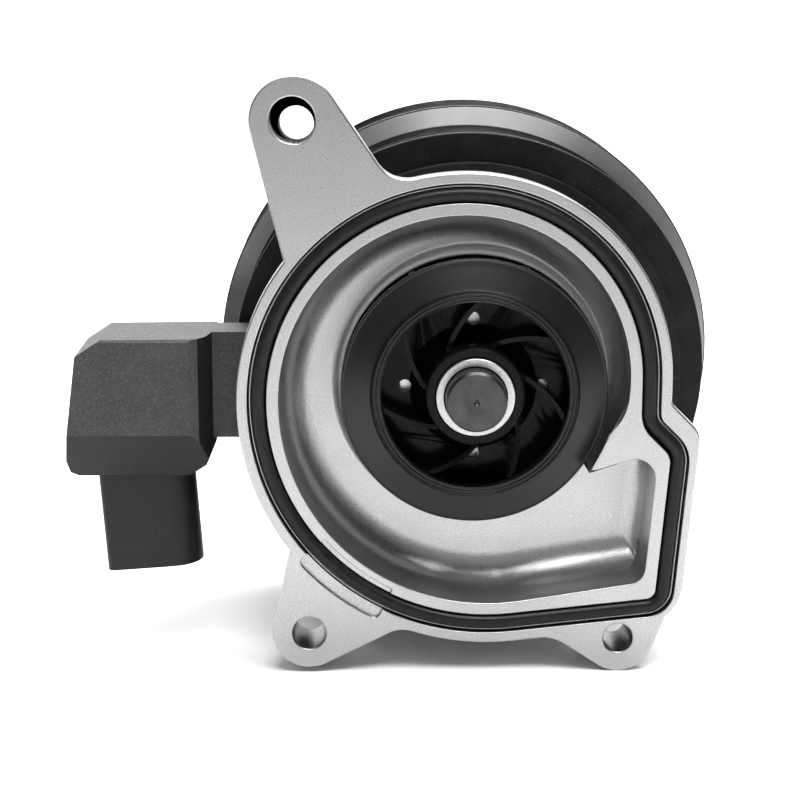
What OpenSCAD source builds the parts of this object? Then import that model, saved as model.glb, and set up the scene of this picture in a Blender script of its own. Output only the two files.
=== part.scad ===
// Engine coolant pump module with an electromagnetic clutch.
// The pump axis is Y. The mounting face lies in the plane Y = 0 and the impeller looks
// towards -Y. The two belt pulleys stand behind the housing, towards +Y. Z is up. Units: mm.

/* [Mounting flange] */
// Thickness of the flange plate behind the mounting face
flange_t = 8; // [6:0.5:12]
// Thickness of the three mounting ears at their bosses
boss_t = 17; // [12:1:22]
// Radius of the bolt holes in the upper and lower left ears
bolt_r = 4.5; // [3:0.1:6]
// Radius of the bolt hole in the lower right ear
bolt_right_r = 4; // [3:0.1:5]
// Centre of the upper ear, X and Z
ear_top = [-46.5, 71.0];
// Centre of the upper ear's through hole, X and Z
hole_top = [-46.2, 69.9];
// Centre of the lower left ear hole, X and Z
ear_left = [-43.9, -65.1];
// Centre of the lower right ear, X and Z
ear_right = [38.9, -66.5];
// Centre of the lower right ear's hole, X and Z
hole_right = [38.8, -66.9];
// Outer radius of the upper ear
ear_top_r = 11.6; // [9:0.1:14]
// Outer radius of the two lower ears
ear_low_r = 9.7; // [8:0.1:12]
// Width of the rim outside the volute's edge
rim_off = 11; // [9:0.1:13]

/* [Volute] */
// Radius of the volute's first quarter
volute_r = 43; // [38:0.5:48]
// Growth of the volute's radius in each quarter turn
volute_step = 6; // [3:0.5:8]
// Shift of the volute's centre from the pump axis, X and Z
volute_shift = [0.6, 1.0];
// Depth of the volute's floor
volute_depth = 20; // [14:0.5:24]
// Rounding between the volute's wall and floor
bowl_r = 9; // [3:0.5:12]
// Thickness of the volute's outer wall
wall_t = 3.4; // [2.5:0.1:5]

/* [Seal groove] */
// Inner edge of the seal groove, measured out from the volute's edge
groove_in = 3.2; // [2.5:0.1:5]
// Outer edge of the seal groove, measured out from the volute's edge
groove_out = 8.2; // [6:0.1:9.5]
// Depth of the seal groove
groove_depth = 3.8; // [2:0.1:5]

/* [Shaft] */
// Radius of the shaft
shaft_r = 7.96; // [6:0.02:10]
// Y of the shaft's end on the impeller side
shaft_y0 = -9.1; // [-12:0.1:0]
// Y of the shaft's end on the pulley side
shaft_y1 = 91; // [80:0.5:100]
// Gap left between pieces that are pressed together
fit_gap = 0.05; // [0.01:0.01:0.1]

/* [Impeller] */
// Radius of the impeller
impeller_r = 35.2; // [30:0.1:38]
// Radius of the impeller's eye
eye_r = 24.6; // [20:0.1:30]
// Width of the lip round the eye
lip_w = 2.3; // [1:0.1:4]
// Number of vanes
vane_count = 7; // [5:1:9]
// Angle that a vane sweeps from hub to rim
vane_sweep = 58; // [30:1:90]
// Thickness of a vane
vane_t = 1.8; // [1:0.1:3]
// Angle of the first vane's root
first_vane = 73; // [0:1:90]
// Number of balance holes in the impeller's back plate
balance_count = 4; // [3:1:8]
// Radius of the circle that the balance holes lie on
balance_circle = 18.2; // [17:0.1:24]

/* [Shaft bearing] */
// Radius of the bore that holds the bearing
bearing_r = 15.05; // [13:0.05:20]
// Radius of a shaft bearing ball
ball_r = 2.9; // [2:0.1:4]
// Balls in each row of the shaft bearing
ball_count = 8; // [6:1:10]

/* [Clutch coil] */
// Outer radius of the coil's mounting plate
plate_r = 57.7; // [50:0.1:62]
// Outer radius of the coil case
coil_r = 55.8; // [48:0.1:58]

/* [Pulleys] */
// Flange radius of the coolant pump's pulley
pump_pulley_r = 65.2; // [60:0.1:70]
// Y of the coolant pump pulley's near edge
pump_pulley_y = 35.1; // [33:0.1:40]
// Flange radius of the clutched pulley
drive_pulley_r = 70.4; // [66:0.1:76]
// Y of the clutched pulley's near face
drive_pulley_y = 62.2; // [61:0.1:66]
// Pitch of the belt ribs
rib_pitch = 3.56; // [2.34, 3.56, 4.70]
// Number of belt ribs on each pulley
rib_count = 6; // [4:1:7]
// Depth of the belt ribs
rib_depth = 3; // [2:0.1:4]

/* [Clutch] */
// Air gap between the armature and the friction face
air_gap = 0.4; // [0.3:0.05:0.7]
// Radius of the circle that carries the leaf spring rivets
rivet_circle = 44; // [40:0.5:50]
// Angle that a leaf spring spans
leaf_span = 42; // [30:1:55]
// Balls in each row of the clutch bearing
clutch_balls = 12; // [9:1:13]

/* [Connector] */
// Lean of the plug socket, in degrees
socket_lean = 4; // [0:1:10]
// Y of the connector box's front face
box_y = 8; // [4:0.5:14]
// Wall thickness of the connector box
box_wall = 2.4; // [1.5:0.1:4]

/* [Hidden] */
fine = 96;
growth = volute_step / 2;
quarter_c = [
    [volute_shift[0] - growth, volute_shift[1] + growth],
    [volute_shift[0] - growth, volute_shift[1] - growth],
    [volute_shift[0] + growth, volute_shift[1] - growth],
    [volute_shift[0] + growth, volute_shift[1] + growth]
];
quarter_r = [for (i = [0:3]) volute_r + i * volute_step];
// each quarter is cut this much wider and shallower than the one before, so that they overlap cleanly
quarter_lap = 0.05;
pocket_depth = volute_depth - 4 * quarter_lap;
// normal angles of the outlet's straight walls
wall_a = -4.8;
floor_a = 278.7;
seal_floor_a = 276;
slope_a = 45;
lip_a = 108.3;
// distances of those walls from the pump axis
pocket_wall = 49.6;
pocket_lip = -29.6;
seal_wall = 49.8;
seal_slope = 21.6;
rim_wall = 60.2;
rim_slope = 34.6;
// the raised floor behind the impeller
island_r = 36.4;
island_y = 15.8;
neck_r = 21.5;
neck_end = 53;
shoulder_y = 27.2;
// hole that lets coolant out of the chamber behind the shaft seal
leak_y = 25.6;
leak_r = 1.3;
row_y = [34.2, 46.8];
ball_play = 0.3;
ball_pitch = shaft_r - 0.9 + ball_r + ball_play;
clutch_ball_r = 2.6;
clutch_pitch = 18;
clutch_row_y = [68, 75];
friction_y = 61;
armature_y = friction_y + air_gap;
armature_t = 4.5;
leaf_y = 66.3;
leaf_t = 0.8;
web_y = 69;
web_t = 5;
first_rivet = 90;

// ---------------------------------------------------------------- helpers

function polar(c, r, a) = [c[0] + r * cos(a), c[1] + r * sin(a)];

// points along an arc, both ends included
function arc(c, r, a0, a1, n) = [for (i = [0:n]) polar(c, r, a0 + (a1 - a0) * i / n)];

// points along an arc without its last one, for joining arcs end to end
function open_arc(c, r, a0, a1, n) = [for (i = [0:n - 1]) polar(c, r, a0 + (a1 - a0) * i / n)];

// where two straight walls cross, each given by its normal angle and distance from the origin
function meet(a, p, b, q) = [
    (p * sin(b) - q * sin(a)) / sin(b - a),
    (q * cos(a) - p * cos(b)) / sin(b - a)
];

function dot2(a, p) = p[0] * cos(a) + p[1] * sin(a);

// touching point of a line from p to the circle c, r
function touch(c, r, p, side) =
    let(v = p - c, d = norm(v))
    polar(c, r, atan2(v[1], v[0]) + side * acos(r / d));

// centre of a fillet of radius f between a wall and the outside of the circle c, r
function fillet_c(a, p, c, r, f, side) =
    let(n = [cos(a), sin(a)], u = [-sin(a), cos(a)], h = p + f - dot2(a, c))
    n * (p + f) + u * (c * u + side * sqrt((r + f) * (r + f) - h * h));

// the volute's growing edge, three quarters and a short run of the fourth
function spiral(off, last_a) = concat(
    open_arc(quarter_c[0], quarter_r[0] + off, 0, 90, 30),
    open_arc(quarter_c[1], quarter_r[1] + off, 90, 180, 30),
    open_arc(quarter_c[2], quarter_r[2] + off, 180, 270, 30),
    open_arc(quarter_c[3], quarter_r[3] + off, 270, last_a, 3)
);

function floor_dist(a) = dot2(a, quarter_c[3]) + quarter_r[3];

// closed contour that runs beside the volute and round the outlet
function contour(off, low_r, high_r, hollow_r, wall, slope, low_a) =
    let(
        low_c = meet(low_a, floor_dist(low_a) - low_r, wall_a + 360, wall - low_r),
        high_c = meet(wall_a, wall - high_r, slope_a, slope - high_r),
        side = quarter_c[0][0] + quarter_r[0],
        hollow_c = meet(0, side + hollow_r, slope_a, slope + hollow_r)
    )
    concat(
        spiral(off, low_a),
        arc(low_c, low_r + off, low_a, wall_a + 360, 10),
        arc(high_c, high_r + off, wall_a, slope_a, 8),
        arc(hollow_c, hollow_r - off, 180 + slope_a, 180, 8)
    );

function seal_path(off) = contour(off, -0.4, 1.5, 12, seal_wall, seal_slope, seal_floor_a);

function rim_path() = contour(
    rim_off, 2, 6 - rim_off, rim_off + 3,
    rim_wall - rim_off, rim_slope - rim_off, seal_floor_a
);

// outline of the outlet pocket
function pocket_path() =
    let(
        low_c = meet(floor_a, floor_dist(floor_a) - 5, wall_a + 360, pocket_wall - 5),
        high_c = meet(wall_a, pocket_wall - 4, lip_a, pocket_lip - 4),
        tip = meet(lip_a, pocket_lip, 0, 29.6)
    )
    concat(
        [[0, 0], polar(quarter_c[3], quarter_r[3] + 0.1, floor_a - 1.3)],
        arc(low_c, 5, floor_a, wall_a + 360, 8),
        arc(high_c, 4, wall_a, lip_a, 8),
        [tip]
    );

// draws a flat shape, given as X and Z, and gives it depth from y0 to y1
module slab(y0, y1) {
    translate([0, y1, 0])
    rotate([90, 0, 0])
    linear_extrude(height = y1 - y0)
    children();
}

// turns a profile, given as radius and Y, about the pump axis
module turned() {
    rotate([-90, 0, 0])
    rotate_extrude($fn = fine)
    children();
}

// part turn of a profile, from angle a0 over a sweep of da, about the point c
module part_turn(c, a0, da) {
    translate([c[0], 0, c[1]])
    rotate([90, 0, 0])
    rotate([0, 0, a0])
    rotate_extrude(angle = da, $fn = fine)
    children();
}

module ring(r0, r1, y0, y1) {
    turned()
    translate([r0, y0])
    square([r1 - r0, y1 - y0]);
}

module rod(c, r, y0, y1) {
    translate([c[0], y0, c[1]])
    rotate([-90, 0, 0])
    cylinder(r = r, h = y1 - y0, $fn = fine);
}

module cone(c, r0, r1, y0, y1) {
    translate([c[0], y0, c[1]])
    rotate([-90, 0, 0])
    cylinder(r1 = r0, r2 = r1, h = y1 - y0, $fn = fine);
}

// mounting ear in outline, with its two sides running to the points p and q on the flange
module ear(c, r, p, q) {
    polygon([touch(c, r, p, -1), p, q, touch(c, r, q, 1)]);
    translate(c)
    circle(r = r, $fn = fine);
}

// infill of radius f between the rim's given quarter and the side of an ear that runs to q
module ear_fillet(ear_c, ear_r, q, end, quarter, f, side, core) {
    c = quarter_c[quarter];
    r = quarter_r[quarter] + rim_off;
    t = touch(ear_c, ear_r, q, end);
    a = atan2(t[1] - ear_c[1], t[0] - ear_c[0]);
    m = fillet_c(a, dot2(a, t), c, r, f, side);
    v = c - m;
    a_wall = a + 180;
    a_rim = atan2(v[1], v[0]);
    turn = a_rim - a_wall;
    short = turn > 180 ? turn - 360 : (turn < -180 ? turn + 360 : turn);
    polygon(concat(arc(m, f, a_wall, a_wall + short, 8), [core]));
}

function v_ribs(y0, r) = [
    for (i = [0:rib_count - 1], p = [[0, 0.1], [rib_depth, 0.42], [rib_depth, 0.58], [0, 0.9]])
    [r - p[0], y0 + (i + p[1]) * rib_pitch]
];

// ---------------------------------------------------------------- housing

module flange_outline() {
    polygon(rim_path());
    ear(ear_top, ear_top_r, [-49, 33], [-22, 55.5]);
    ear(ear_left, ear_low_r, [-13, -60.6], [-47.6, -36]);
    ear(ear_right, ear_low_r, [55.6, -50.5], [13, -61]);
    ear_fillet(ear_top, ear_top_r, [-22, 55.5], 1, 1, 9, 1, [-28, 52]);
    ear_fillet(ear_left, ear_low_r, [-13, -60.6], -1, 2, 8, -1, [-22, -60]);
    ear_fillet(ear_right, ear_low_r, [13, -61], 1, 3, 12, 1, [20, -62]);
}

// everything inside a straight wall with normal angle a at distance p, rounded by f at the floor
module wall_block(a, p, f) {
    rotate([0, -a, 0])
    linear_extrude(height = 300, center = true)
    polygon(concat(
        [[-90, -1], [p, -1]],
        arc([p - f, pocket_depth - f], f, 0, 90, 8),
        [[-90, pocket_depth]]
    ));
}

module volute_space() {
    difference() {
        union() {
            for (q = [0:3]) {
                a0 = [-14, 89.5, 179.5, 269.5][q];
                da = [104, 90.5, 90.5, 9.7][q];
                r = quarter_r[q] + q * quarter_lap;
                depth = volute_depth - q * quarter_lap;
                part_turn(quarter_c[q], a0, da)
                polygon(concat(
                    [[0, 1], [r, 1]],
                    arc([r - bowl_r, bowl_r - depth], bowl_r, 0, -90, 8),
                    [[0, -depth]]
                ));
            }
            intersection() {
                slab(-1, volute_depth + 1)
                polygon(pocket_path());
                wall_block(floor_a, floor_dist(floor_a), bowl_r);
                wall_block(wall_a, pocket_wall, 5);
                wall_block(lip_a, pocket_lip, 2.5);
            }
            rod([0, 0], island_r + 0.4, -1, island_y + 1.4);
        }
        cone([0, 0], island_r - 1, island_r + 1, island_y, volute_depth + 1);
    }
}

// bolt hole through an ear, with a small chamfer at the mounting face
module bolt_hole(c, r) {
    rod(c, r, -1, boss_t + 1);
    cone(c, r + 0.6, r, -0.1, 0.5);
}

module pump_housing() {
    color("silver")
    difference() {
        union() {
            slab(0, flange_t)
            flange_outline();
            slab(flange_t - 1, volute_depth + 1)
            polygon(seal_path(wall_t));
            slab(volute_depth, volute_depth + 4)
            polygon(seal_path(0.4));
            rod(ear_top, 9.6, 0, boss_t);
            rod(ear_left, 9.2, 0, boss_t);
            rod(ear_right, 9.2, 0, boss_t);
            // ribs that tie the ears to the volute
            slab(flange_t - 1, boss_t - 3)
            polygon([ear_top + [-3, 0], [-40, 34], [-32, 40], ear_top + [3, 0]]);
            slab(flange_t - 1, boss_t - 3)
            polygon([ear_left + [-2.5, 0], [-38, -46], [-30, -48], ear_left + [3, 1]]);
            slab(flange_t - 1, boss_t - 3)
            polygon([ear_right + [-2.5, 0], [30, -54], [38, -52], ear_right + [3, 0]]);
            rod([0, 0], 27, volute_depth + 3, shoulder_y);
            rod([0, 0], neck_r, volute_depth + 3, neck_end);
        }
        volute_space();
        rod([0, 0], 24, -2, island_y - 0.5);
        slab(-1, groove_depth)
        difference() {
            polygon(seal_path(groove_out));
            polygon(seal_path(groove_in));
        }
        // shallow reliefs on both sides of the seal, lower left
        part_turn(quarter_c[2], 220.7, 22.9)
        translate([quarter_r[2] + groove_out - 0.5, -1.4])
        square([3.6, 3]);
        part_turn(quarter_c[2], 220.7, 22.9)
        translate([quarter_r[2] + groove_in - 1.3, -1.4])
        square([2, 3]);
        bolt_hole(hole_top, bolt_r);
        bolt_hole(ear_left, bolt_r);
        bolt_hole(hole_right, bolt_right_r);
        // recess at the mouth of the upper hole
        rod([-47, 71.4], 5.9, -1, 8);
        // hollow in the back of the raised floor
        ring(28, 34, island_y + 4, volute_depth + 5);
        // bores for the shaft seal, the leak chamber and the bearing
        rod([0, 0], 17.5, island_y - 1, 24.5);
        rod([0, 0], 12.9, 24, 29);
        rod([0, 0], bearing_r, 28.4, neck_end + 1);
        ring(neck_r - 0.9, neck_r + 2, 30.3, 31.9);
        // leak hole and locating pin hole
        translate([0, leak_y, -30])
        cylinder(r = leak_r, h = 20, $fn = fine);
        rod(polar([0, 0], 24.3, 45), 2, 22, 29);
    }
}

module housing_seal() {
    color("dimgray")
    union() {
        seal_ring(groove_in + 0.25, groove_out - 0.25, 0.3, groove_depth - 0.6);
        seal_ring(groove_in + 0.8, groove_out - 0.8, -0.3, groove_depth - 0.1);
        seal_ring(groove_in + 1.5, groove_out - 1.5, -0.6, groove_depth - 0.3);
    }
}

module seal_ring(a, b, y0, y1) {
    slab(y0, y1)
    difference() {
        polygon(seal_path(b));
        polygon(seal_path(a));
    }
}

module weep_filter() {
    color("white")
    translate([0, leak_y, -25.5])
    cylinder(r = leak_r - fit_gap, h = 5, $fn = fine);
}

// ---------------------------------------------------------------- shaft seal

module seal_cup() {
    color("gainsboro")
    turned()
    polygon([
        [9.6, 23.4], [17.45, 23.4], [17.45, 15.7], [19.4, 15.7], [19.4, 14.95],
        [15.9, 14.95], [15.9, 22.6], [9.6, 22.6]
    ]);
}

module seal_bellows() {
    color("black")
    turned()
    polygon([
        [12.5, 16.2], [13.6, 16.2], [13.6, 19.7], [11.9, 20.3], [12.6, 21.1],
        [11.9, 21.8], [11.9, 22.5], [9.5, 22.5], [9.5, 21.6], [10.4, 21.2],
        [9.8, 20.4], [9.5, 18.6], [12.5, 18.6]
    ]);
}

module seal_spring() {
    coil_r = 14.7;
    turns = 3;
    steps = 20;
    pitch = 1.65;
    color("silver")
    for (i = [0:turns * steps - 1]) {
        hull() {
            for (k = [i, i + 1]) {
                a = 360 * k / steps;
                translate([coil_r * cos(a), 16.9 + pitch * k / steps, coil_r * sin(a)])
                rotate([0, -a, 0])
                cylinder(r = 0.6, h = 0.02, $fn = 8);
            }
        }
    }
}

module seal_carbon_ring() {
    color("dimgray")
    turned()
    polygon([
        [9.3, 15.45], [9.3, 18.5], [12.4, 18.5], [12.4, 17], [11.8, 16.4], [11.8, 15.45]
    ]);
}

// ---------------------------------------------------------------- shaft bearing

module bearing_outer_ring() {
    color("lightsteelblue")
    difference() {
        ring(12.6, bearing_r - fit_gap, 28.6, 52.4);
        for (y = row_y) {
            turned()
            translate([ball_pitch, y])
            circle(r = ball_r + ball_play, $fn = 48);
        }
    }
}

module bearing_seals() {
    color("black")
    for (y = [28.7, 51.3]) {
        ring(shaft_r + 0.35, 12.5, y, y + 1);
    }
}

module bearing_balls() {
    color("silver")
    for (y = row_y) {
        for (i = [0:ball_count - 1]) {
            rotate([0, -i * 360 / ball_count, 0])
            translate([ball_pitch, y, 0])
            sphere(r = ball_r, $fn = 48);
        }
    }
}

module bearing_cages() {
    color("sienna")
    for (y = row_y) {
        difference() {
            ring(9.2, 11.9, y - 3.9, y + 3.9);
            for (i = [0:ball_count - 1]) {
                rotate([0, -i * 360 / ball_count, 0])
                translate([8, y, 0])
                rotate([0, 90, 0])
                cylinder(r = ball_r + 0.15, h = 5, $fn = fine);
            }
        }
    }
}

// ---------------------------------------------------------------- clutch coil

module coil_plate() {
    color("dimgray")
    difference() {
        union() {
            ring(neck_r + 0.1, plate_r, shoulder_y + 0.02, 30.2);
            ring(coil_r + 0.1, plate_r, 30, 31.6);
            translate([-66, shoulder_y + 0.02, -9])
            cube([12, 2.98, 18]);
        }
        for (z = [-3, 3]) {
            rod([-50, z], 1.6, 26, 31);
        }
        rod(polar([0, 0], 24.3, 45), 2.05, 26, 31);
        for (z = [-6.5, 6.5]) {
            rod([-62.5, z], 1.3, 26, 31);
        }
    }
}

module coil_case() {
    color("gray")
    difference() {
        union() {
            ring(30.2, coil_r, 30.25, 33);
            ring(30.2, 32.4, 32, 56);
            ring(coil_r - 2.6, coil_r, 32, 56);
        }
        for (z = [-3, 3]) {
            rod([-50, z], 1.6, 29, 34);
        }
    }
}

module coil_bobbin() {
    color("ivory")
    difference() {
        turned()
        polygon([
            [32.5, 33.1], [53, 33.1], [53, 34.7], [33.9, 34.7], [33.9, 52.6],
            [53, 52.6], [53, 54.2], [32.5, 54.2]
        ]);
        for (z = [-3, 3]) {
            rod([-50, z], 1.3, 32, 35);
        }
    }
}

module coil_winding() {
    color("peru")
    turned()
    polygon(concat(
        [[34, 34.9]],
        [for (i = [0:8], p = [0, 0.5]) [52.2 - p, 34.9 + (i + p) * 17.5 / 9]],
        [[52.2, 52.4], [34, 52.4]]
    ));
}

module coil_potting() {
    color("darkslategray")
    ring(32.5, 53.1, 54.3, 55.8);
}

module coil_snap_ring() {
    color("slategray")
    difference() {
        ring(neck_r - 0.8, 24.2, 30.35, 31.8);
        translate([0, 31, 22])
        cube([7, 4, 8], center = true);
        for (s = [-1, 1]) {
            rod([s * 5.2, 22.2], 0.9, 29, 33);
        }
    }
}

module locating_pin() {
    color("silver")
    rod(polar([0, 0], 24.3, 45), 1.95, 22.1, 29.9);
}

// ---------------------------------------------------------------- connector

// the box seen from the front, drawn in by t
module box_outline(t) {
    polygon([
        [-69.4 - t, 13.4 - t], [-98.6 + t * 0.4, 13.2 - t], [-105.3 + t, 8.8 - t * 0.4],
        [-109.2 + t, -20.8], [-108.4 + t, -24.4 + t * 0.6], [-106.2 + t * 0.6, -25.5 + t],
        [-76.2 - t * 0.4, -25.5 + t], [-71.6 - t, -22.2 + t * 0.6], [-69.4 - t, -17.5 + t * 0.4]
    ]);
}

module box_solid(t, y0, y1) {
    intersection() {
        slab(y0, y1)
        box_outline(t);
        // side view: the front face and the long bevel under it
        translate([-115, 0, 0])
        rotate([90, 0, 90])
        linear_extrude(height = 60)
        polygon([
            [y0, 12.6 - t], [y0 + 0.8, 13.6], [40, 13.6], [40, -26],
            [box_y + 8.5, -26 + t], [y0, -12.6 + t * 0.5]
        ]);
        // top view: the rounded left edge and the slanted right side
        translate([0, 0, -30])
        linear_extrude(height = 50)
        polygon([
            [-112, y0 + 1.6], [-108, y0], [-75.4 - t * 0.6, y0], [-73 - t * 0.6, y0 + 1.2],
            [-71 - t * 0.4, y0 + 4.5], [-69.4, y0 + 14], [-69.4, 40], [-112, 40]
        ]);
    }
}

module connector_box() {
    color("dimgray")
    difference() {
        union() {
            box_solid(0, box_y, 33);
            // arm that reaches to the coil plate
            translate([-73, 19, -15.6])
            cube([18, 14, 29]);
        }
        box_solid(box_wall, box_y + box_wall, 34);
        rod([0, 0], plate_r + 0.3, 18, 34);
        translate([-75, 23.2, -6])
        cube([20, 4.02, 12]);
        translate([-66.1, shoulder_y, -9.1])
        cube([12, 3.1, 18.2]);
        for (z = [-6.5, 6.5]) {
            rod([-62.5, z], 1.3, 30, 32.5);
        }
        // slot for the terminals
        translate([-95, 23, -30])
        cube([13, 6, 10]);
        for (p = [[-103.6, 6.6], [-106.3, -20.6]]) {
            rod(p, 0.9, 28, 34);
        }
    }
}

module connector_cover() {
    color("dimgray")
    difference() {
        slab(33.05, 35)
        box_outline(0);
        for (p = [[-103.6, 6.6], [-106.3, -20.6], [-72, 10.4], [-73.2, -17.4]]) {
            rod(p, 1.3, 32, 36);
        }
    }
}

module connector_screws() {
    color("silver")
    for (p = [[-103.6, 6.6], [-106.3, -20.6], [-72, 10.4], [-73.2, -17.4]]) {
        difference() {
            union() {
                rod(p, 1.2, 33.1, 35.6);
                rod(p, 2.2, 35.02, 36.3);
            }
            translate([p[0] - 1.5, 35.8, p[1] - 0.3])
            cube([3, 1, 0.6]);
        }
    }
}

function socket_section() = concat(
    arc([-99.3, 31], 2, 90, 180, 4),
    arc([-99.3, 19], 2, 180, 270, 4),
    arc([-83.1, 24.5], 7.5, 270, 360, 8),
    arc([-83.1, 25.5], 7.5, 0, 90, 8)
);

module connector_socket() {
    color("dimgray")
    intersection() {
        translate([-88, 25, -25.6])
        rotate([0, -socket_lean, 0])
        translate([88, -25, 25.6])
        difference() {
            translate([0, 0, -52])
            linear_extrude(height = 40)
            polygon(socket_section());
            translate([0, 0, -53])
            linear_extrude(height = 20)
            socket_hollow();
            translate([-95, 23, -34])
            cube([13, 6, 30]);
        }
        translate([-120, 0, -80])
        cube([60, 50, 54.4]);
    }
}

module socket_hollow() {
    translate([-99.3 + 0.3, 19])
    square([16, 12]);
    translate([-83.1, 25])
    circle(r = 5.6, $fn = fine);
}

module terminals() {
    color("gold")
    for (x = [-92.6, -84.6]) {
        translate([x - 1.4, 25, -45])
        cube([2.8, 0.8, 33]);
    }
}

module lead_wires() {
    color("maroon")
    for (k = [[3, -92.6], [-3, -84.6]]) {
        rod([-50, k[0]], 1.15, 24.2, 34.8);
        rod([k[1], k[0]], 1.15, 23.5, 26.9);
        translate([k[1], 25.6, k[0]])
        rotate([0, 90, 0])
        cylinder(r = 1, h = -50 - k[1], $fn = fine);
        translate([k[1], 24.05, -11.9])
        cylinder(r = 0.9, h = k[0] + 11.9, $fn = fine);
    }
}

module wire_grommet() {
    color("black")
    difference() {
        translate([-66, 23.3, -5.9])
        cube([6.5, 3.8, 11.8]);
        for (z = [-3, 3]) {
            translate([-70, 25.6, z])
            rotate([0, 90, 0])
            cylinder(r = 1.05, h = 20, $fn = fine);
        }
    }
}

// ---------------------------------------------------------------- shaft group

module pump_shaft() {
    color("silver")
    difference() {
        turned()
        polygon([
            [0, shaft_y0], [shaft_r - 0.7, shaft_y0], [shaft_r, shaft_y0 + 0.7],
            [shaft_r, 79.2], [5.9, 79.2], [5.9, shaft_y1 - 1], [4.9, shaft_y1], [0, shaft_y1]
        ]);
        for (y = row_y) {
            turned()
            translate([ball_pitch, y])
            circle(r = ball_r + ball_play, $fn = 48);
        }
        cone([0, 0], 0.9, 0, shaft_y0 - 0.01, shaft_y0 + 0.8);
    }
}

module impeller_bush() {
    color("gainsboro")
    turned()
    polygon([
        [shaft_r + 0.4, -3.2], [10.1, -3.2], [10.28, -3], [10.28, 12.9],
        [shaft_r + fit_gap, 12.9], [shaft_r + fit_gap, -2.6]
    ]);
}

// the space that the vanes fill between the back plate and the shroud
module vane_space() {
    turned()
    polygon([
        [12.9, 3.2], [eye_r - 0.3, 1.7], [eye_r + 0.35, 2.78], [impeller_r - 0.2, 6.4],
        [impeller_r - 0.2, 12.2], [12.9, 12.2]
    ]);
}

function vane_angle(r) = -vane_sweep * ln(r / 12.5) / ln(impeller_r / 12.5);

function vane_side(s) = [
    for (i = [0:12])
    let(r = 12.5 + (impeller_r - 12.5) * i / 12)
    polar([0, 0], r, vane_angle(r) + s * vane_t / 2 / r * 57.3)
];

function flip(v) = [for (i = [len(v) - 1:-1:0]) v[i]];

module impeller() {
    color([0.1, 0.1, 0.1])
    difference() {
        union() {
            turned()
            polygon([
                [10.28 + fit_gap, -1.6], [10.7, -2], [12.6, -2], [12.97, -1.6], [12.97, 8],
                [15.5, 11.2], [17, 12], [impeller_r, 12], [impeller_r, 14.4], [16, 14.4],
                [15.4, 13.1], [10.28 + fit_gap, 13.1]
            ]);
            intersection() {
                vane_space();
                for (i = [0:vane_count - 1]) {
                    rotate([0, -(first_vane + i * 360 / vane_count), 0])
                    slab(0, 13)
                    polygon(concat(vane_side(-1), flip(vane_side(1))));
                }
            }
        }
        for (i = [0:balance_count - 1]) {
            rod(polar([0, 0], balance_circle, i * 360 / balance_count), 1.7, 11, 15);
        }
    }
}

module impeller_shroud() {
    color([0.1, 0.1, 0.1])
    turned()
    polygon([
        [eye_r, -0.7], [eye_r + 0.3, -1.1], [eye_r + lip_w - 0.4, -1.1],
        [eye_r + lip_w, -0.7], [eye_r + lip_w + 0.2, 0.3], [eye_r + lip_w + 1.3, 1.1],
        [impeller_r - 0.3, 4.1], [impeller_r, 4.4], [impeller_r, 6.35],
        [eye_r + 0.3, 2.7], [eye_r, 1.8]
    ]);
}

module seal_mating_ring() {
    color("white")
    turned()
    polygon([
        [shaft_r + fit_gap, 13.2], [14.2, 13.2], [14.2, 14.6], [12.6, 15.4], [shaft_r + fit_gap, 15.4]
    ]);
}

module slinger_ring() {
    color("silver")
    turned()
    polygon([
        [shaft_r + fit_gap, 25], [12, 25], [12, 25.8], [9.2, 25.8], [9.2, 27], [shaft_r + fit_gap, 27]
    ]);
}

module pump_pulley() {
    r = pump_pulley_r;
    y = pump_pulley_y;
    color([0.15, 0.15, 0.15])
    difference() {
        turned()
        polygon(concat(
            [[56.9, y], [r - 0.3, y], [r, y + 0.3], [r, y + 1.5], [r - 1.5, y + 2.1]],
            v_ribs(y + 2.1, r - 1.5),
            [
                [r - 1.5, y + 23.6], [r, y + 24.2], [r, friction_y - 0.5], [r - 0.5, friction_y],
                [24.7, friction_y], [24.7, 35.6], [29.1, 35.6], [29.1, 57], [56.9, 57]
            ]
        ));
        // recess for the friction ring, and two rows of flux slots
        ring(40.5, 47.5, 59.4, friction_y + 1);
        for (i = [0:5]) {
            part_turn([0, 0], i * 60, 46)
            translate([34.6, -62])
            square([2.6, 6]);
            part_turn([0, 0], 30 + i * 60, 46)
            translate([51, -62])
            square([2.6, 6]);
        }
    }
}

module pulley_hub() {
    color("gray")
    turned()
    polygon([
        [shaft_r + fit_gap, 54.2], [24.65, 54.2], [24.65, 60.4], [15, 60.4],
        [14.6, 60.8], [14.6, 63.5], [12.5, 63.5], [12.5, 79], [12, 79.15],
        [shaft_r + fit_gap, 79.15]
    ]);
}

module friction_ring() {
    color("tan")
    difference() {
        ring(40.55, 47.45, 59.45, friction_y - 0.02);
        for (i = [0:7]) {
            rotate([0, -i * 45, 0])
            translate([40, 60.2, -0.6])
            cube([8, 1, 1.2]);
        }
    }
}

module clutch_inner_ring() {
    color("lightsteelblue")
    difference() {
        ring(12.5 + fit_gap, 16, 63.55, 79.5);
        for (y = clutch_row_y) {
            turned()
            translate([clutch_pitch, y])
            circle(r = clutch_ball_r + ball_play, $fn = 48);
        }
    }
}

module nut_washer() {
    color("silver")
    ring(5.9 + fit_gap, 15, 79.55, 82);
}

module shaft_nut() {
    color("silver")
    difference() {
        intersection() {
            translate([0, 82.02, 0])
            rotate([-90, 0, 0])
            cylinder(r = 10.97, h = 7.5, $fn = 6);
            turned()
            polygon([[0, 82], [10.2, 82], [11, 82.6], [11, 88.7], [10.2, 89.52], [0, 89.52]]);
        }
        rod([0, 0], 5.9 + fit_gap, 81, 91);
    }
}

// ---------------------------------------------------------------- clutched pulley

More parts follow.
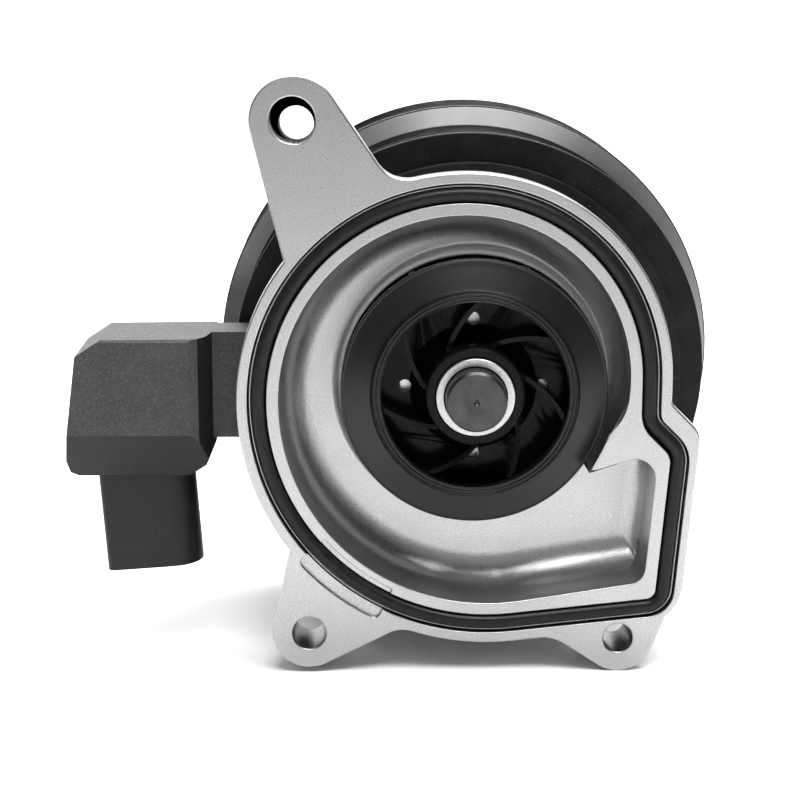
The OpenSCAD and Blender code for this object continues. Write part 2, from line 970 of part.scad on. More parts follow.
// place on the rivet circle, turned by extra degrees from the pulley's rivet k
function rivet_at(k, extra = 0) = polar([0, 0], rivet_circle, first_rivet + 120 * k + extra);

function pad_at(k) = polar([0, 0], 46, first_rivet + 120 * k - 28);

module drive_pulley() {
    r = drive_pulley_r;
    y = drive_pulley_y;
    color([0.2, 0.2, 0.2])
    difference() {
        turned()
        polygon(concat(
            [[61.8, y], [r - 0.4, y], [r, y + 0.4], [r, y + 1.6], [r - 1.4, y + 2.2]],
            v_ribs(y + 2.2, r - 1.4),
            [
                [r - 1.4, y + 23.7], [r, y + 24.3], [r, y + 25.5], [r - 0.4, y + 25.9],
                [63.8, y + 25.9], [62.4, 86], [61.8, 77], [59, web_y + web_t],
                [33, web_y + web_t], [29, 77.5], [29, 82], [28.5, 82.5], [23.55, 82.5],
                [23.55, 81.25], [24.9, 81.25], [24.9, 79.7], [23.55, 79.7], [23.55, 63.45],
                [22.3, 63.45], [22.3, 62.7], [29, 62.7], [29, web_y], [59.8, web_y], [61.8, 67]
            ]
        ));
        for (k = [0:2]) {
            // window beside each leaf spring
            part_turn([0, 0], first_rivet + 120 * k + 24, 46)
            translate([34.5, -76])
            square([19.5, 10]);
            rod(rivet_at(k), 2.1, 68, 75);
            rod(pad_at(k), 2.4, 68, 75);
        }
    }
}

module clutch_outer_ring() {
    color("lightsteelblue")
    difference() {
        ring(20, 23.5, 63.5, 79.5);
        for (y = clutch_row_y) {
            turned()
            translate([clutch_pitch, y])
            circle(r = clutch_ball_r + ball_play, $fn = 48);
        }
    }
}

module clutch_seals() {
    color("black")
    for (y = [63.6, 78.6]) {
        ring(16.35, 19.9, y, y + 0.8);
    }
}

module clutch_bearing_balls() {
    color("silver")
    for (y = clutch_row_y) {
        for (i = [0:clutch_balls - 1]) {
            rotate([0, -i * 360 / clutch_balls, 0])
            translate([clutch_pitch, y, 0])
            sphere(r = clutch_ball_r, $fn = 48);
        }
    }
}

module clutch_cages() {
    color("sienna")
    for (y = clutch_row_y) {
        difference() {
            ring(16.6, 19.4, y - 3.3, y + 3.3);
            for (i = [0:clutch_balls - 1]) {
                rotate([0, -i * 360 / clutch_balls, 0])
                translate([15.5, y, 0])
                rotate([0, 90, 0])
                cylinder(r = clutch_ball_r + 0.15, h = 5, $fn = fine);
            }
        }
    }
}

module pulley_retaining_ring() {
    color("slategray")
    difference() {
        ring(21.2, 24.8, 79.8, 81.15);
        translate([0, 80.5, 22])
        cube([8, 4, 8], center = true);
        for (s = [-1, 1]) {
            rod([s * 5.6, 22.1], 0.8, 79, 82);
        }
    }
}

module leaf(a) {
    p = polar([0, 0], rivet_circle, a);
    q = polar([0, 0], rivet_circle, a + leaf_span);
    mid = (p + q) / 2;
    difference() {
        union() {
            translate([mid[0], leaf_y + leaf_t / 2, mid[1]])
            rotate([0, -(a + leaf_span / 2 + 90), 0])
            cube([norm(q - p), leaf_t, 8], center = true);
            rod(p, 5, leaf_y, leaf_y + leaf_t);
            rod(q, 5, leaf_y, leaf_y + leaf_t);
        }
        rod(p, 2.1, leaf_y - 1, leaf_y + 2);
        rod(q, 2.1, leaf_y - 1, leaf_y + 2);
    }
}

module leaf_springs() {
    color("steelblue")
    for (k = [0:2]) {
        leaf(first_rivet + 120 * k);
    }
}

module pulley_rivets() {
    color("silver")
    for (k = [0:2]) {
        c = rivet_at(k);
        rod(c, 2.05, leaf_y - 1, web_y + web_t + 1);
        rod(c, 4, leaf_y - 1.1, leaf_y - 0.02);
        cone(c, 3.9, 2.8, web_y + web_t + 0.02, web_y + web_t + 1.6);
    }
}

module rivet_spacers() {
    color("silver")
    for (k = [0:2]) {
        difference() {
            rod(rivet_at(k), 4.6, leaf_y + leaf_t + 0.02, web_y - 0.02);
            rod(rivet_at(k), 2.1, leaf_y, web_y + 1);
        }
    }
}

module stop_pads() {
    color("black")
    for (k = [0:2]) {
        c = pad_at(k);
        rod(c, 4, armature_y + armature_t + 0.1, web_y - 0.02);
        rod(c, 2.3, web_y - 1, web_y + web_t + 0.1);
        cone(c, 3.3, 2.2, web_y + web_t + 0.02, web_y + web_t + 2);
    }
}

module nose_cap() {
    color([0.12, 0.12, 0.12])
    turned()
    polygon([
        [21.4, 81.4], [23.5, 81.4], [23.5, 82.55], [27.6, 82.55], [27.6, 83.6], [27, 84.2],
        [20.8, 84.4], [19.6, 91.6], [18, 93.2], [0, 93.8], [0, 92.2], [17.3, 91.8],
        [18.2, 90.6], [19.3, 83.6], [21.4, 83]
    ]);
}

// ---------------------------------------------------------------- armature

module armature_plate() {
    y0 = armature_y;
    y1 = armature_y + armature_t;
    color("gray")
    difference() {
        turned()
        polygon([[30.5, y0], [56.7, y0], [57.2, y0 + 0.5], [57.2, y1 - 0.5], [56.7, y1], [30.5, y1]]);
        for (k = [0:2]) {
            a = first_rivet + 120 * k;
            rod(rivet_at(k), 6, y0 - 1, y1 + 1);
            rod(rivet_at(k, leaf_span), 2.1, y0 - 1, y1 + 1);
            cone(rivet_at(k, leaf_span), 4, 2.1, y0 - 0.05, y0 + 1.9);
            // flux slots
            part_turn([0, 0], a + 12, 22)
            translate([42.8, -y1 - 1])
            square([2.4, armature_t + 2]);
            part_turn([0, 0], a + 54, 50)
            translate([42.8, -y1 - 1])
            square([2.4, armature_t + 2]);
        }
    }
}

module armature_rivets() {
    color("silver")
    for (k = [0:2]) {
        c = rivet_at(k, leaf_span);
        cone(c, 3.8, 2.05, armature_y + 0.1, armature_y + 1.85);
        rod(c, 2.05, armature_y + 1, leaf_y + leaf_t + 1);
        rod(c, 3.4, armature_y + armature_t + 0.02, leaf_y - 0.02);
        cone(c, 3.8, 2.8, leaf_y + leaf_t + 0.02, leaf_y + leaf_t + 1.4);
    }
}

pump_housing();
housing_seal();
weep_filter();
seal_cup();
seal_bellows();
seal_spring();
seal_carbon_ring();
bearing_outer_ring();
bearing_seals();
coil_plate();
coil_case();
coil_bobbin();
coil_winding();
coil_potting();
coil_snap_ring();
locating_pin();
connector_box();
connector_cover();
connector_screws();
connector_socket();
terminals();
lead_wires();
wire_grommet();
pump_shaft();
impeller_bush();
impeller();
impeller_shroud();
seal_mating_ring();
slinger_ring();
pump_pulley();
pulley_hub();
friction_ring();
clutch_inner_ring();
nut_washer();
shaft_nut();
bearing_balls();
bearing_cages();
drive_pulley();
clutch_outer_ring();
clutch_seals();
pulley_retaining_ring();
leaf_springs();
pulley_rivets();
rivet_spacers();
stop_pads();
nose_cap();
clutch_bearing_balls();
clutch_cages();
armature_plate();
armature_rivets();
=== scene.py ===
"""Looks for the engine coolant pump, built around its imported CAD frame.

The pump axis is Y, the mounting face lies at Y = 0 and looks towards -Y, and Z is up.
The part's sizes are in millimetres and its meshes in metres. The stage, the lights and
the camera are placed in metres.
"""

import math

import bmesh
import bpy
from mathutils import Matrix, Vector
from mathutils.geometry import delaunay_2d_cdt


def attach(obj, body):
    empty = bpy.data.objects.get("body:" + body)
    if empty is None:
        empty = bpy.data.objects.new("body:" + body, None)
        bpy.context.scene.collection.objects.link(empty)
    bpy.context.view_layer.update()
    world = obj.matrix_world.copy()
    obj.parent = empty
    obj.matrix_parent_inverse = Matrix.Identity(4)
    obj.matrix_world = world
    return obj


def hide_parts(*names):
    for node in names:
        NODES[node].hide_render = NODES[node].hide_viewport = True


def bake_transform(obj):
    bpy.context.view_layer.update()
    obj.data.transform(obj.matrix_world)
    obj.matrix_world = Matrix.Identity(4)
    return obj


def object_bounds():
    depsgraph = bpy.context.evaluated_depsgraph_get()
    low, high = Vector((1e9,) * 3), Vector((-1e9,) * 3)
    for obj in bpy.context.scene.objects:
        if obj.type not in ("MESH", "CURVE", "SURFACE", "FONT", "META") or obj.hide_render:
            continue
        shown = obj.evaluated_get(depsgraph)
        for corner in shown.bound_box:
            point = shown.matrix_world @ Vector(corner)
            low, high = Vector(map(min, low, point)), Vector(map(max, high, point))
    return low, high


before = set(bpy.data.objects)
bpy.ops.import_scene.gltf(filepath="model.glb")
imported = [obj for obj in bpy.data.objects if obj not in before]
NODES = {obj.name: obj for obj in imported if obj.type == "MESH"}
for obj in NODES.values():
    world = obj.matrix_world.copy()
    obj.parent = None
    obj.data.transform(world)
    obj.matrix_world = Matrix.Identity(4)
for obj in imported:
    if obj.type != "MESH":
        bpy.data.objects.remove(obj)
cad_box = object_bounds()

MM = 0.001
SAME_PLACE = 2e-6  # metres
FLAT = math.radians(0.3)
SHARP = math.radians(28)


# ---------------------------------------------------------------- mesh helpers


def placed(name, data):
    """A new object in the scene."""
    obj = bpy.data.objects.new(name, data)
    bpy.context.scene.collection.objects.link(obj)
    return obj


def smooth_faces(mesh):
    for poly in mesh.polygons:
        poly.use_smooth = True


def new_piece(name, verts, faces, body, material, stands_for=()):
    """A mesh piece in millimetres that rides on a body and stands for some CAD nodes."""
    mesh = bpy.data.meshes.new(name)
    mesh.from_pydata([[c * MM for c in v] for v in verts], [], faces)
    obj = placed(name, mesh)
    smooth_faces(mesh)
    mesh.materials.append(material)
    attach(obj, body)
    if stands_for:
        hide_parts(*stands_for)
    return obj


def level_normals(obj):
    """Keeps broad faces flat beside their small rounded edges."""
    mod = obj.modifiers.new("level_normals", "WEIGHTED_NORMAL")
    mod.mode = "FACE_AREA"
    mod.weight = 90
    mod.keep_sharp = True


def meridian(node):
    """The profile of a turned CAD node: a list of paths of (radius, y), in millimetres.

    Each path is closed, or starts and ends on the axis.
    """
    mesh = NODES[node].data
    place = [
        (round(math.hypot(v.co.x, v.co.z) / MM, 3), round(v.co.y / MM, 3))
        for v in mesh.vertices
    ]
    near = {}
    for edge in mesh.edges:
        a, b = (place[i] for i in edge.vertices)
        if a != b:
            near.setdefault(a, set()).add(b)
            near.setdefault(b, set()).add(a)
    paths = []
    left = set(near)
    while left:
        ends = sorted(p for p in left if len(near[p]) == 1)
        here = ends[0] if ends else min(left)
        is_open = bool(ends)
        path = [here]
        left.discard(here)
        while True:
            ahead = sorted(p for p in near[here] if p in left)
            if not ahead:
                break
            here = ahead[0]
            path.append(here)
            left.discard(here)
        if is_open:
            path = [(0.0, path[0][1])] * (path[0][0] > 0) + path
            path = path + [(0.0, path[-1][1])] * (path[-1][0] > 0)
        paths.append((path, is_open))
    return paths


def rounded(path, is_open, radius, steps=3, least_turn=14):
    """The path with each clear corner replaced by an arc."""
    out = []
    count = len(path)
    for i, p in enumerate(path):
        if is_open and i in (0, count - 1):
            out.append(p)
            continue
        p = Vector(p)
        a = Vector(path[i - 1]) - p
        b = Vector(path[(i + 1) % count]) - p
        turn = math.pi - a.angle(b)
        if math.degrees(turn) < least_turn:
            out.append(tuple(p))
            continue
        half = math.tan(turn / 2)
        r = min(radius, 0.42 * min(a.length, b.length) / half)
        cut = r * half
        start = p + a.normalized() * cut
        end = p + b.normalized() * cut
        centre = p + (a.normalized() + b.normalized()).normalized() * (r / math.cos(turn / 2))
        for k in range(steps + 1):
            q = start.lerp(end, k / steps) - centre
            out.append(tuple(centre + q.normalized() * r))
    return out


def spun(paths, columns):
    """Vertices and faces of profile paths turned about the pump axis."""
    verts = []
    faces = []
    for path, is_open in paths:
        rows = []
        for r, y in path:
            if r < 1e-6:
                rows.append([len(verts)] * columns)
                verts.append((0, y, 0))
                continue
            rows.append(range(len(verts), len(verts) + columns))
            for c in range(columns):
                a = 2 * math.pi * c / columns
                verts.append((r * math.cos(a), y, r * math.sin(a)))
        pairs = list(zip(rows, rows[1:])) + ([] if is_open else [(rows[-1], rows[0])])
        for low, high in pairs:
            for c in range(columns):
                d = (c + 1) % columns
                ring = [low[c], low[d], high[d], high[c]]
                face = [v for k, v in enumerate(ring) if v != ring[k - 1]]
                if len(face) > 2:
                    faces.append(face)
    return verts, faces


def outward(obj):
    """Turns every face of a closed piece outwards."""
    bm = bmesh.new()
    bm.from_mesh(obj.data)
    bmesh.ops.recalc_face_normals(bm, faces=bm.faces)
    bm.to_mesh(obj.data)
    bm.free()


def turned(node, body, material, edge, columns):
    """A finely turned copy of a round CAD node, with its corners rounded."""
    paths = [(rounded(path, is_open, edge), is_open) for path, is_open in meridian(node)]
    verts, faces = spun(paths, columns)
    obj = new_piece(node + "_turned", verts, faces, body, material, [node])
    outward(obj)
    level_normals(obj)


def welded(mesh):
    """A CAD mesh for editing, with its doubled points merged and its flat faces joined up."""
    bm = bmesh.new()
    bm.from_mesh(mesh)
    bmesh.ops.remove_doubles(bm, verts=bm.verts, dist=SAME_PLACE)
    bmesh.ops.dissolve_limit(bm, angle_limit=FLAT, verts=bm.verts, edges=bm.edges)
    return bm


def round_edges(obj, width, segments=2):
    """Rounds the sharp edges of a piece by a width in millimetres."""
    smooth_faces(obj.data)
    obj.data.set_sharp_from_angle(angle=SHARP)
    mod = obj.modifiers.new("round_edges", "BEVEL")
    mod.limit_method = "ANGLE"
    mod.angle_limit = SHARP
    mod.width = width * MM
    mod.segments = segments
    return mod


def eased(node, body, material, width, segments=2):
    """A copy of a CAD node with its sharp edges rounded."""
    mesh = NODES[node].data.copy()
    mesh.name = node + "_eased"
    obj = placed(node + "_eased", mesh)
    bm = welded(mesh)
    bm.to_mesh(mesh)
    bm.free()
    mod = round_edges(obj, width, segments)
    mod.use_clamp_overlap = True
    mod.miter_outer = "MITER_ARC"
    mod.harden_normals = True
    mesh.materials.clear()
    mesh.materials.append(material)
    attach(obj, body)
    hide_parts(node)
    return obj


# ---------------------------------------------------------------- material helpers


class Shader:
    """A procedural material under construction."""

    def __init__(self, name, **sockets):
        self.material = bpy.data.materials.new(name)
        self.material.use_nodes = True
        self.tree = self.material.node_tree
        self.bsdf = self.tree.nodes["Principled BSDF"]
        self.place = self.node("ShaderNodeTexCoord").outputs["Object"]
        for socket, value in sockets.items():
            self.bsdf.inputs[socket.replace("_", " ")].default_value = value

    def node(self, kind, **settings):
        made = self.tree.nodes.new(kind)
        for key, value in settings.items():
            setattr(made, key, value)
        return made

    def link(self, source, target):
        self.tree.links.new(source, target)

    def noise(self, scale, detail=4, roughness=0.6, vector=None):
        made = self.node("ShaderNodeTexNoise")
        made.inputs["Scale"].default_value = scale
        made.inputs["Detail"].default_value = detail
        made.inputs["Roughness"].default_value = roughness
        self.link(vector or self.place, made.inputs["Vector"])
        return made.outputs["Fac"]

    def spread(self, value, low, high, to_low, to_high):
        made = self.node("ShaderNodeMapRange")
        made.inputs["From Min"].default_value = low
        made.inputs["From Max"].default_value = high
        made.inputs["To Min"].default_value = to_low
        made.inputs["To Max"].default_value = to_high
        self.link(value, made.inputs["Value"])
        return made.outputs["Result"]

    def ramp(self, value, *stops):
        made = self.node("ShaderNodeValToRGB")
        ramp = made.color_ramp
        while len(ramp.elements) < len(stops):
            ramp.elements.new(0.5)
        for element, (at, shade) in zip(ramp.elements, stops):
            element.position = at
            element.color = [*([shade] * 3 if isinstance(shade, float) else shade), 1]
        self.link(value, made.inputs["Fac"])
        return made.outputs["Color"]

    def math(self, operation, a, b):
        made = self.node("ShaderNodeMath", operation=operation)
        for socket, value in zip(made.inputs, (a, b)):
            if isinstance(value, (int, float)):
                socket.default_value = value
            else:
                self.link(value, socket)
        return made.outputs[0]

    def mix(self, factor, a, b, blend="MIX"):
        made = self.node("ShaderNodeMix", data_type="RGBA", blend_type=blend)
        for socket, value in zip((made.inputs[0], made.inputs[6], made.inputs[7]), (factor, a, b)):
            if isinstance(value, (int, float)):
                socket.default_value = value if socket is made.inputs[0] else [value] * 3 + [1]
            elif isinstance(value, (tuple, list)):
                socket.default_value = [*value, 1]
            else:
                self.link(value, socket)
        return made.outputs[2]

    def edges(self):
        """1 along outer edges, 0 on flat ground."""
        shape = self.node("ShaderNodeNewGeometry")
        return self.spread(shape.outputs["Pointiness"], 0.52, 0.6, 0, 1)

    def radius(self):
        """Distance from the pump axis, in millimetres."""
        parts = self.node("ShaderNodeSeparateXYZ")
        self.link(self.place, parts.inputs[0])
        square = [self.math("MULTIPLY", parts.outputs[k], parts.outputs[k]) for k in (0, 2)]
        return self.math("MULTIPLY", self.math("SQRT", self.math("ADD", *square), 0), 1 / MM)

    def across_marks(self):
        """Turning marks about the pump axis spread a highlight away from the axis."""
        parts = self.node("ShaderNodeSeparateXYZ")
        self.link(self.place, parts.inputs[0])
        outward_way = self.node("ShaderNodeCombineXYZ")
        self.link(parts.outputs[0], outward_way.inputs[0])
        self.link(parts.outputs[2], outward_way.inputs[2])
        self.link(outward_way.outputs[0], self.bsdf.inputs["Tangent"])

    def bump(self, height, strength, distance_mm, below=None):
        made = self.node("ShaderNodeBump")
        made.inputs["Strength"].default_value = strength
        made.inputs["Distance"].default_value = distance_mm * MM
        self.link(height, made.inputs["Height"])
        if below:
            self.link(below, made.inputs["Normal"])
        return made.outputs["Normal"]

    def done(self, color=None, roughness=None, normal=None):
        for value, socket in ((color, "Base Color"), (roughness, "Roughness"), (normal, "Normal")):
            if value is not None:
                self.link(value, self.bsdf.inputs[socket])
        return self.material


# ---------------------------------------------------------------- materials


def blasted_aluminium(name="blasted_aluminium", light=0.52):
    """Cast aluminium after fine blasting: pale and grainy, cloudy in places."""
    s = Shader(name, Metallic=1.0)
    grain = s.noise(2300, 3, 0.75)
    cloud = s.noise(60, 6, 0.6)
    color = s.mix(s.spread(cloud, 0.3, 0.7, 0, 1), light * 0.92, light * 1.06)
    color = s.mix(s.spread(grain, 0.4, 0.62, 0, 1), color, light * 0.74)
    roughness = s.spread(s.noise(1100, 3), 0.3, 0.7, 0.27, 0.38)
    fine = s.bump(grain, 0.55, 0.06)
    return s.done(color, roughness, s.bump(s.noise(260, 4), 0.1, 0.15, fine))


def seal_rubber():
    s = Shader("seal_rubber", Specular_IOR_Level=0.2)
    color = s.ramp(s.noise(400, 4), (0.35, 0.008), (0.7, 0.014))
    roughness = s.spread(s.noise(900, 4), 0.3, 0.7, 0.26, 0.4)
    return s.done(color, roughness, s.bump(s.noise(1500, 3), 0.2, 0.03))


def grained_plastic(name="grained_plastic", shade=0.036, speck=0.11):
    """Glass-filled black plastic with a fine eroded grain."""
    s = Shader(name, Specular_IOR_Level=0.35)
    grain = s.noise(2300, 2, 0.55)
    color = s.ramp(s.noise(120, 5), (0.3, shade * 0.85), (0.7, shade * 1.15))
    color = s.mix(s.spread(grain, 0.52, 0.7, 0, 0.5), color, speck)
    roughness = s.spread(grain, 0.3, 0.7, 0.6, 0.4)
    return s.done(color, roughness, s.bump(grain, 0.5, 0.05))


def impeller_plastic():
    s = Shader("impeller_plastic", Specular_IOR_Level=0.1)
    color = s.ramp(s.noise(300, 5), (0.3, 0.002), (0.75, 0.005))
    roughness = s.spread(s.noise(700, 4), 0.3, 0.7, 0.1, 0.24)
    return s.done(color, roughness, s.bump(s.noise(500, 3), 0.1, 0.03))


def shroud_plastic():
    """The impeller's front shroud, turned and then left matt."""
    s = Shader("shroud_plastic", Specular_IOR_Level=0.4)
    color = s.ramp(s.noise(350, 5), (0.3, 0.003), (0.75, 0.006))
    specks = s.spread(s.noise(1500, 2), 0.72, 0.8, 0, 0.4)
    color = s.mix(specks, color, 0.09)
    roughness = s.spread(s.noise(1500, 3), 0.3, 0.7, 0.3, 0.4)
    return s.done(color, roughness, s.bump(s.noise(2400, 3), 0.2, 0.02))


def coated_steel(name="coated_steel", shade=0.008):
    """Steel under a thin black coat, with specks of dust and fine scratches."""
    s = Shader(name, Specular_IOR_Level=0.15)
    color = s.ramp(s.noise(160, 6), (0.3, shade * 0.6), (0.7, shade * 1.4))
    specks = s.spread(s.noise(1300, 2), 0.72, 0.78, 0, 0.8)
    color = s.mix(specks, color, 0.12)
    color = s.mix(s.spread(s.noise(70, 8, 0.75), 0.6, 0.68, 0, 0.5), color, 0.03)
    roughness = s.spread(s.noise(500, 5), 0.3, 0.7, 0.28, 0.46)
    return s.done(color, roughness, s.bump(s.noise(900, 4), 0.12, 0.02))


def turned_coated_steel():
    """Steel turned bare, with fine marks about the axis."""
    s = Shader("turned_coated_steel", Metallic=1.0, Anisotropic=0.9)
    s.across_marks()
    rings = s.node("ShaderNodeTexNoise")
    rings.inputs["Scale"].default_value = 1.0
    rings.inputs["Detail"].default_value = 5
    across = s.node("ShaderNodeCombineXYZ")
    s.link(s.math("MULTIPLY", s.radius(), 6.0), across.inputs[0])
    s.link(across.outputs[0], rings.inputs["Vector"])
    color = s.ramp(s.noise(90, 5), (0.3, 0.6), (0.7, 0.7))
    color = s.mix(s.spread(rings.outputs["Fac"], 0.3, 0.7, 0, 0.25), color, 0.4)
    roughness = s.spread(rings.outputs["Fac"], 0.3, 0.7, 0.5, 0.6)
    return s.done(color, roughness, s.bump(rings.outputs["Fac"], 0.15, 0.02))


def turned_steel(name="turned_steel", shade=0.065):
    """Plain steel with turning rings that run about the pump axis."""
    s = Shader(name, Metallic=1.0, Anisotropic=0.5)
    s.across_marks()
    wave = s.node("ShaderNodeMath", operation="SINE")
    wobble = s.math("MULTIPLY", s.noise(180, 4), 2.5)
    s.link(s.math("ADD", s.math("MULTIPLY", s.radius(), 12.0), wobble), wave.inputs[0])
    color = s.ramp(s.noise(240, 6), (0.3, shade * 0.6), (0.7, shade * 1.3))
    color = s.mix(s.spread(wave.outputs[0], -1, 1, 0, 0.45), color, shade * 1.9)
    roughness = s.spread(s.noise(600, 4), 0.3, 0.7, 0.32, 0.5)
    return s.done(color, roughness, s.bump(wave.outputs[0], 0.35, 0.03))


def spring_steel():
    s = Shader("spring_steel", Metallic=1.0)
    color = s.ramp(s.noise(200, 5), (0.3, (0.2, 0.22, 0.27)), (0.7, (0.32, 0.33, 0.36)))
    color = s.mix(s.edges(), color, 0.6)
    roughness = s.spread(s.noise(800, 4), 0.3, 0.7, 0.26, 0.4)
    return s.done(color, roughness, s.bump(s.noise(1200, 3), 0.1, 0.02))


def zinc_steel():
    s = Shader("zinc_steel", Metallic=1.0)
    color = s.ramp(s.noise(500, 5), (0.3, (0.5, 0.5, 0.48)), (0.7, (0.68, 0.68, 0.66)))
    color = s.mix(s.edges(), color, 0.85)
    roughness = s.spread(s.noise(900, 4), 0.3, 0.7, 0.26, 0.42)
    return s.done(color, roughness, s.bump(s.noise(1500, 3), 0.12, 0.02))


def plain_detail(name, low, high, rough, metallic=0.0, grain=900):
    """A quiet material for pieces that hardly show."""
    s = Shader(name, Metallic=metallic)
    color = s.ramp(s.noise(grain / 4, 5), (0.3, low), (0.7, high))
    roughness = s.spread(s.noise(grain, 4), 0.3, 0.7, rough - 0.07, rough + 0.07)
    return s.done(color, roughness, s.bump(s.noise(grain * 2, 3), 0.12, 0.02))


ALUMINIUM = blasted_aluminium()
BLASTED_STEEL = blasted_aluminium("blasted_bush", 0.62)
# A dark copy of the blasted aluminium: painted shade for the walls of the bolt bores.
BORE_SHADE_ALUMINIUM = blasted_aluminium("aluminium_painted_bore_shade", 0.13)
RUBBER = seal_rubber()
PLASTIC = grained_plastic()
# A much darker copy of the grained plastic: painted shade for the connector box's lower and side
# faces and for its socket.
SHADED_PLASTIC = grained_plastic("plastic_painted_shade", 0.006, 0.02)
IMPELLER = impeller_plastic()
SHROUD = shroud_plastic()
COATED = coated_steel()
COIL_STEEL = coated_steel("coil_steel", 0.01)
PULLEY_FACE = turned_coated_steel()
TURNED = turned_steel()
BEARING = turned_steel("ground_steel", 0.6)
SPRING = spring_steel()
ZINC = zinc_steel()

KEPT = {
    "weep_filter": plain_detail("filter_felt", 0.55, 0.75, 0.9, grain=3000),
    "seal_cup": BLASTED_STEEL,
    "seal_bellows": RUBBER,
    "seal_spring": SPRING,
    "seal_carbon_ring": plain_detail("seal_carbon", 0.03, 0.06, 0.35),
    "bearing_outer_ring": BEARING,
    "bearing_seals": RUBBER,
    "coil_bobbin": plain_detail("bobbin_plastic", (0.6, 0.55, 0.4), (0.7, 0.65, 0.5), 0.5),
    "coil_winding": plain_detail("copper_wire", (0.5, 0.2, 0.08), (0.75, 0.36, 0.16), 0.3, 1.0),
    "coil_potting": plain_detail("potting_resin", 0.02, 0.04, 0.4),
    "coil_snap_ring": SPRING,
    "locating_pin": ZINC,
    "terminals": plain_detail("tinned_brass", (0.6, 0.5, 0.3), (0.75, 0.68, 0.5), 0.3, 1.0),
    "lead_wires": plain_detail("wire_sleeve", (0.12, 0.01, 0.01), (0.2, 0.02, 0.02), 0.5),
    "wire_grommet": RUBBER,
    "seal_mating_ring": plain_detail("seal_ceramic", 0.7, 0.8, 0.25),
    "slinger_ring": BLASTED_STEEL,
    "pulley_hub": TURNED,
    "friction_ring": plain_detail("friction_lining", (0.16, 0.12, 0.08), (0.3, 0.24, 0.17), 0.85),
    "clutch_inner_ring": BEARING,
    "nut_washer": ZINC,
    "shaft_nut": ZINC,
    "bearing_balls": BEARING,
    "bearing_cages": plain_detail("cage_polymer", (0.2, 0.12, 0.06), (0.3, 0.2, 0.1), 0.45),
    "clutch_outer_ring": BEARING,
    "clutch_seals": RUBBER,
    "pulley_retaining_ring": SPRING,
    "clutch_bearing_balls": BEARING,
    "clutch_cages": plain_detail("clutch_cage", (0.2, 0.12, 0.06), (0.3, 0.2, 0.1), 0.45),
}


def dress(node, material):
    """Gives a CAD node that stays in view its own material."""
    slots = NODES[node].data.materials
    for i in range(len(slots)):
        slots[i] = material
    if not slots:
        slots.append(material)


for node, material in KEPT.items():
    dress(node, material)

# ---------------------------------------------------------------- flat outlines, lists of (x, z)


def polar(centre, radius, degrees):
    a = math.radians(degrees)
    return (centre[0] + radius * math.cos(a), centre[1] + radius * math.sin(a))


def arc(centre, radius, start, end, steps, last=True):
    """Points along an arc, with or without its last one."""
    count = steps + 1 if last else steps
    return [polar(centre, radius, start + (end - start) * k / steps) for k in range(count)]


def mixed(a, b, share):
    """The point that lies a share of the way from a to b."""
    return tuple(u + (v - u) * share for u, v in zip(a, b))


def heading(point, centre=(0, 0)):
    """The direction of a point from a centre, from 0 to 360 degrees."""
    return math.degrees(math.atan2(point[1] - centre[1], point[0] - centre[0])) % 360


def blended(start, control, end, steps):
    """Points along a smooth bend."""
    out = []
    for k in range(steps + 1):
        t = k / steps
        mix = ((1 - t) ** 2, 2 * t * (1 - t), t * t)
        out.append(tuple(sum(m * p[i] for m, p in zip(mix, (start, control, end))) for i in (0, 1)))
    return out


def along(degrees, point):
    """How far a point lies in a direction."""
    a = math.radians(degrees)
    return point[0] * math.cos(a) + point[1] * math.sin(a)


def meet(a, p, b, q):
    """Where two straight walls cross, each given by its normal angle and distance."""
    a, b = math.radians(a), math.radians(b)
    turn = math.sin(b - a)
    return (
        (p * math.sin(b) - q * math.sin(a)) / turn,
        (q * math.cos(a) - p * math.cos(b)) / turn,
    )


def touch(centre, radius, point, side):
    """The angle at which a line from a point touches a circle."""
    away = (point[0] - centre[0], point[1] - centre[1])
    tilt = math.degrees(math.acos(radius / math.hypot(*away)))
    return math.degrees(math.atan2(away[1], away[0])) + side * tilt


def inside(point, loop):
    x, z = point
    odd = False
    for (ax, az), (bx, bz) in zip(loop, loop[1:] + loop[:1]):
        if (az > z) != (bz > z) and x < (bx - ax) * (z - az) / (bz - az) + ax:
            odd = not odd
    return odd


def triangles(loops):
    """The loops' flat pieces: points, triangles and each point's first source point."""
    points = [Vector(p) for loop in loops for p in loop]
    edges = []
    for loop in loops:
        first = len(edges)
        edges += [(first + k, first + (k + 1) % len(loop)) for k in range(len(loop))]
    verts, _, faces, source, _, _ = delaunay_2d_cdt(points, edges, [], 1, 1e-5)
    return [tuple(v) for v in verts], [list(f) for f in faces], [s[0] if s else -1 for s in source]


def middle_of(face, verts):
    return tuple(sum(verts[i][k] for i in face) / len(face) for k in (0, 1))


def joined(loops, keep):
    """The longest outline round the area whose membership of each loop satisfies keep."""
    verts, faces, _ = triangles(loops)
    kept = [f for f in faces if keep(*(inside(middle_of(f, verts), loop) for loop in loops))]
    edges = {(a, b) for f in kept for a, b in zip(f, f[1:] + f[:1])}
    ahead = {a: b for a, b in edges if (b, a) not in edges}
    best = []
    while ahead:
        here = min(ahead)
        path = []
        while here in ahead:
            path.append(verts[here])
            here = ahead.pop(here)
        best = max(best, path, key=len)
    return [p for k, p in enumerate(best) if math.dist(p, best[k - 1]) > 0.04]


def grown(loop, by):
    """The loop moved outwards by a distance."""
    out = []
    for k, (x, z) in enumerate(loop):
        (ax, az), (bx, bz) = loop[k - 1], loop[(k + 1) % len(loop)]
        before = Vector((z - az, ax - x)).normalized()
        after = Vector((bz - z, x - bx)).normalized()
        push = (before + after) / max(1 + before.dot(after), 0.35)
        out.append((x + push.x * by, z + push.y * by))
    return out


# ---------------------------------------------------------------- the housing's outlines

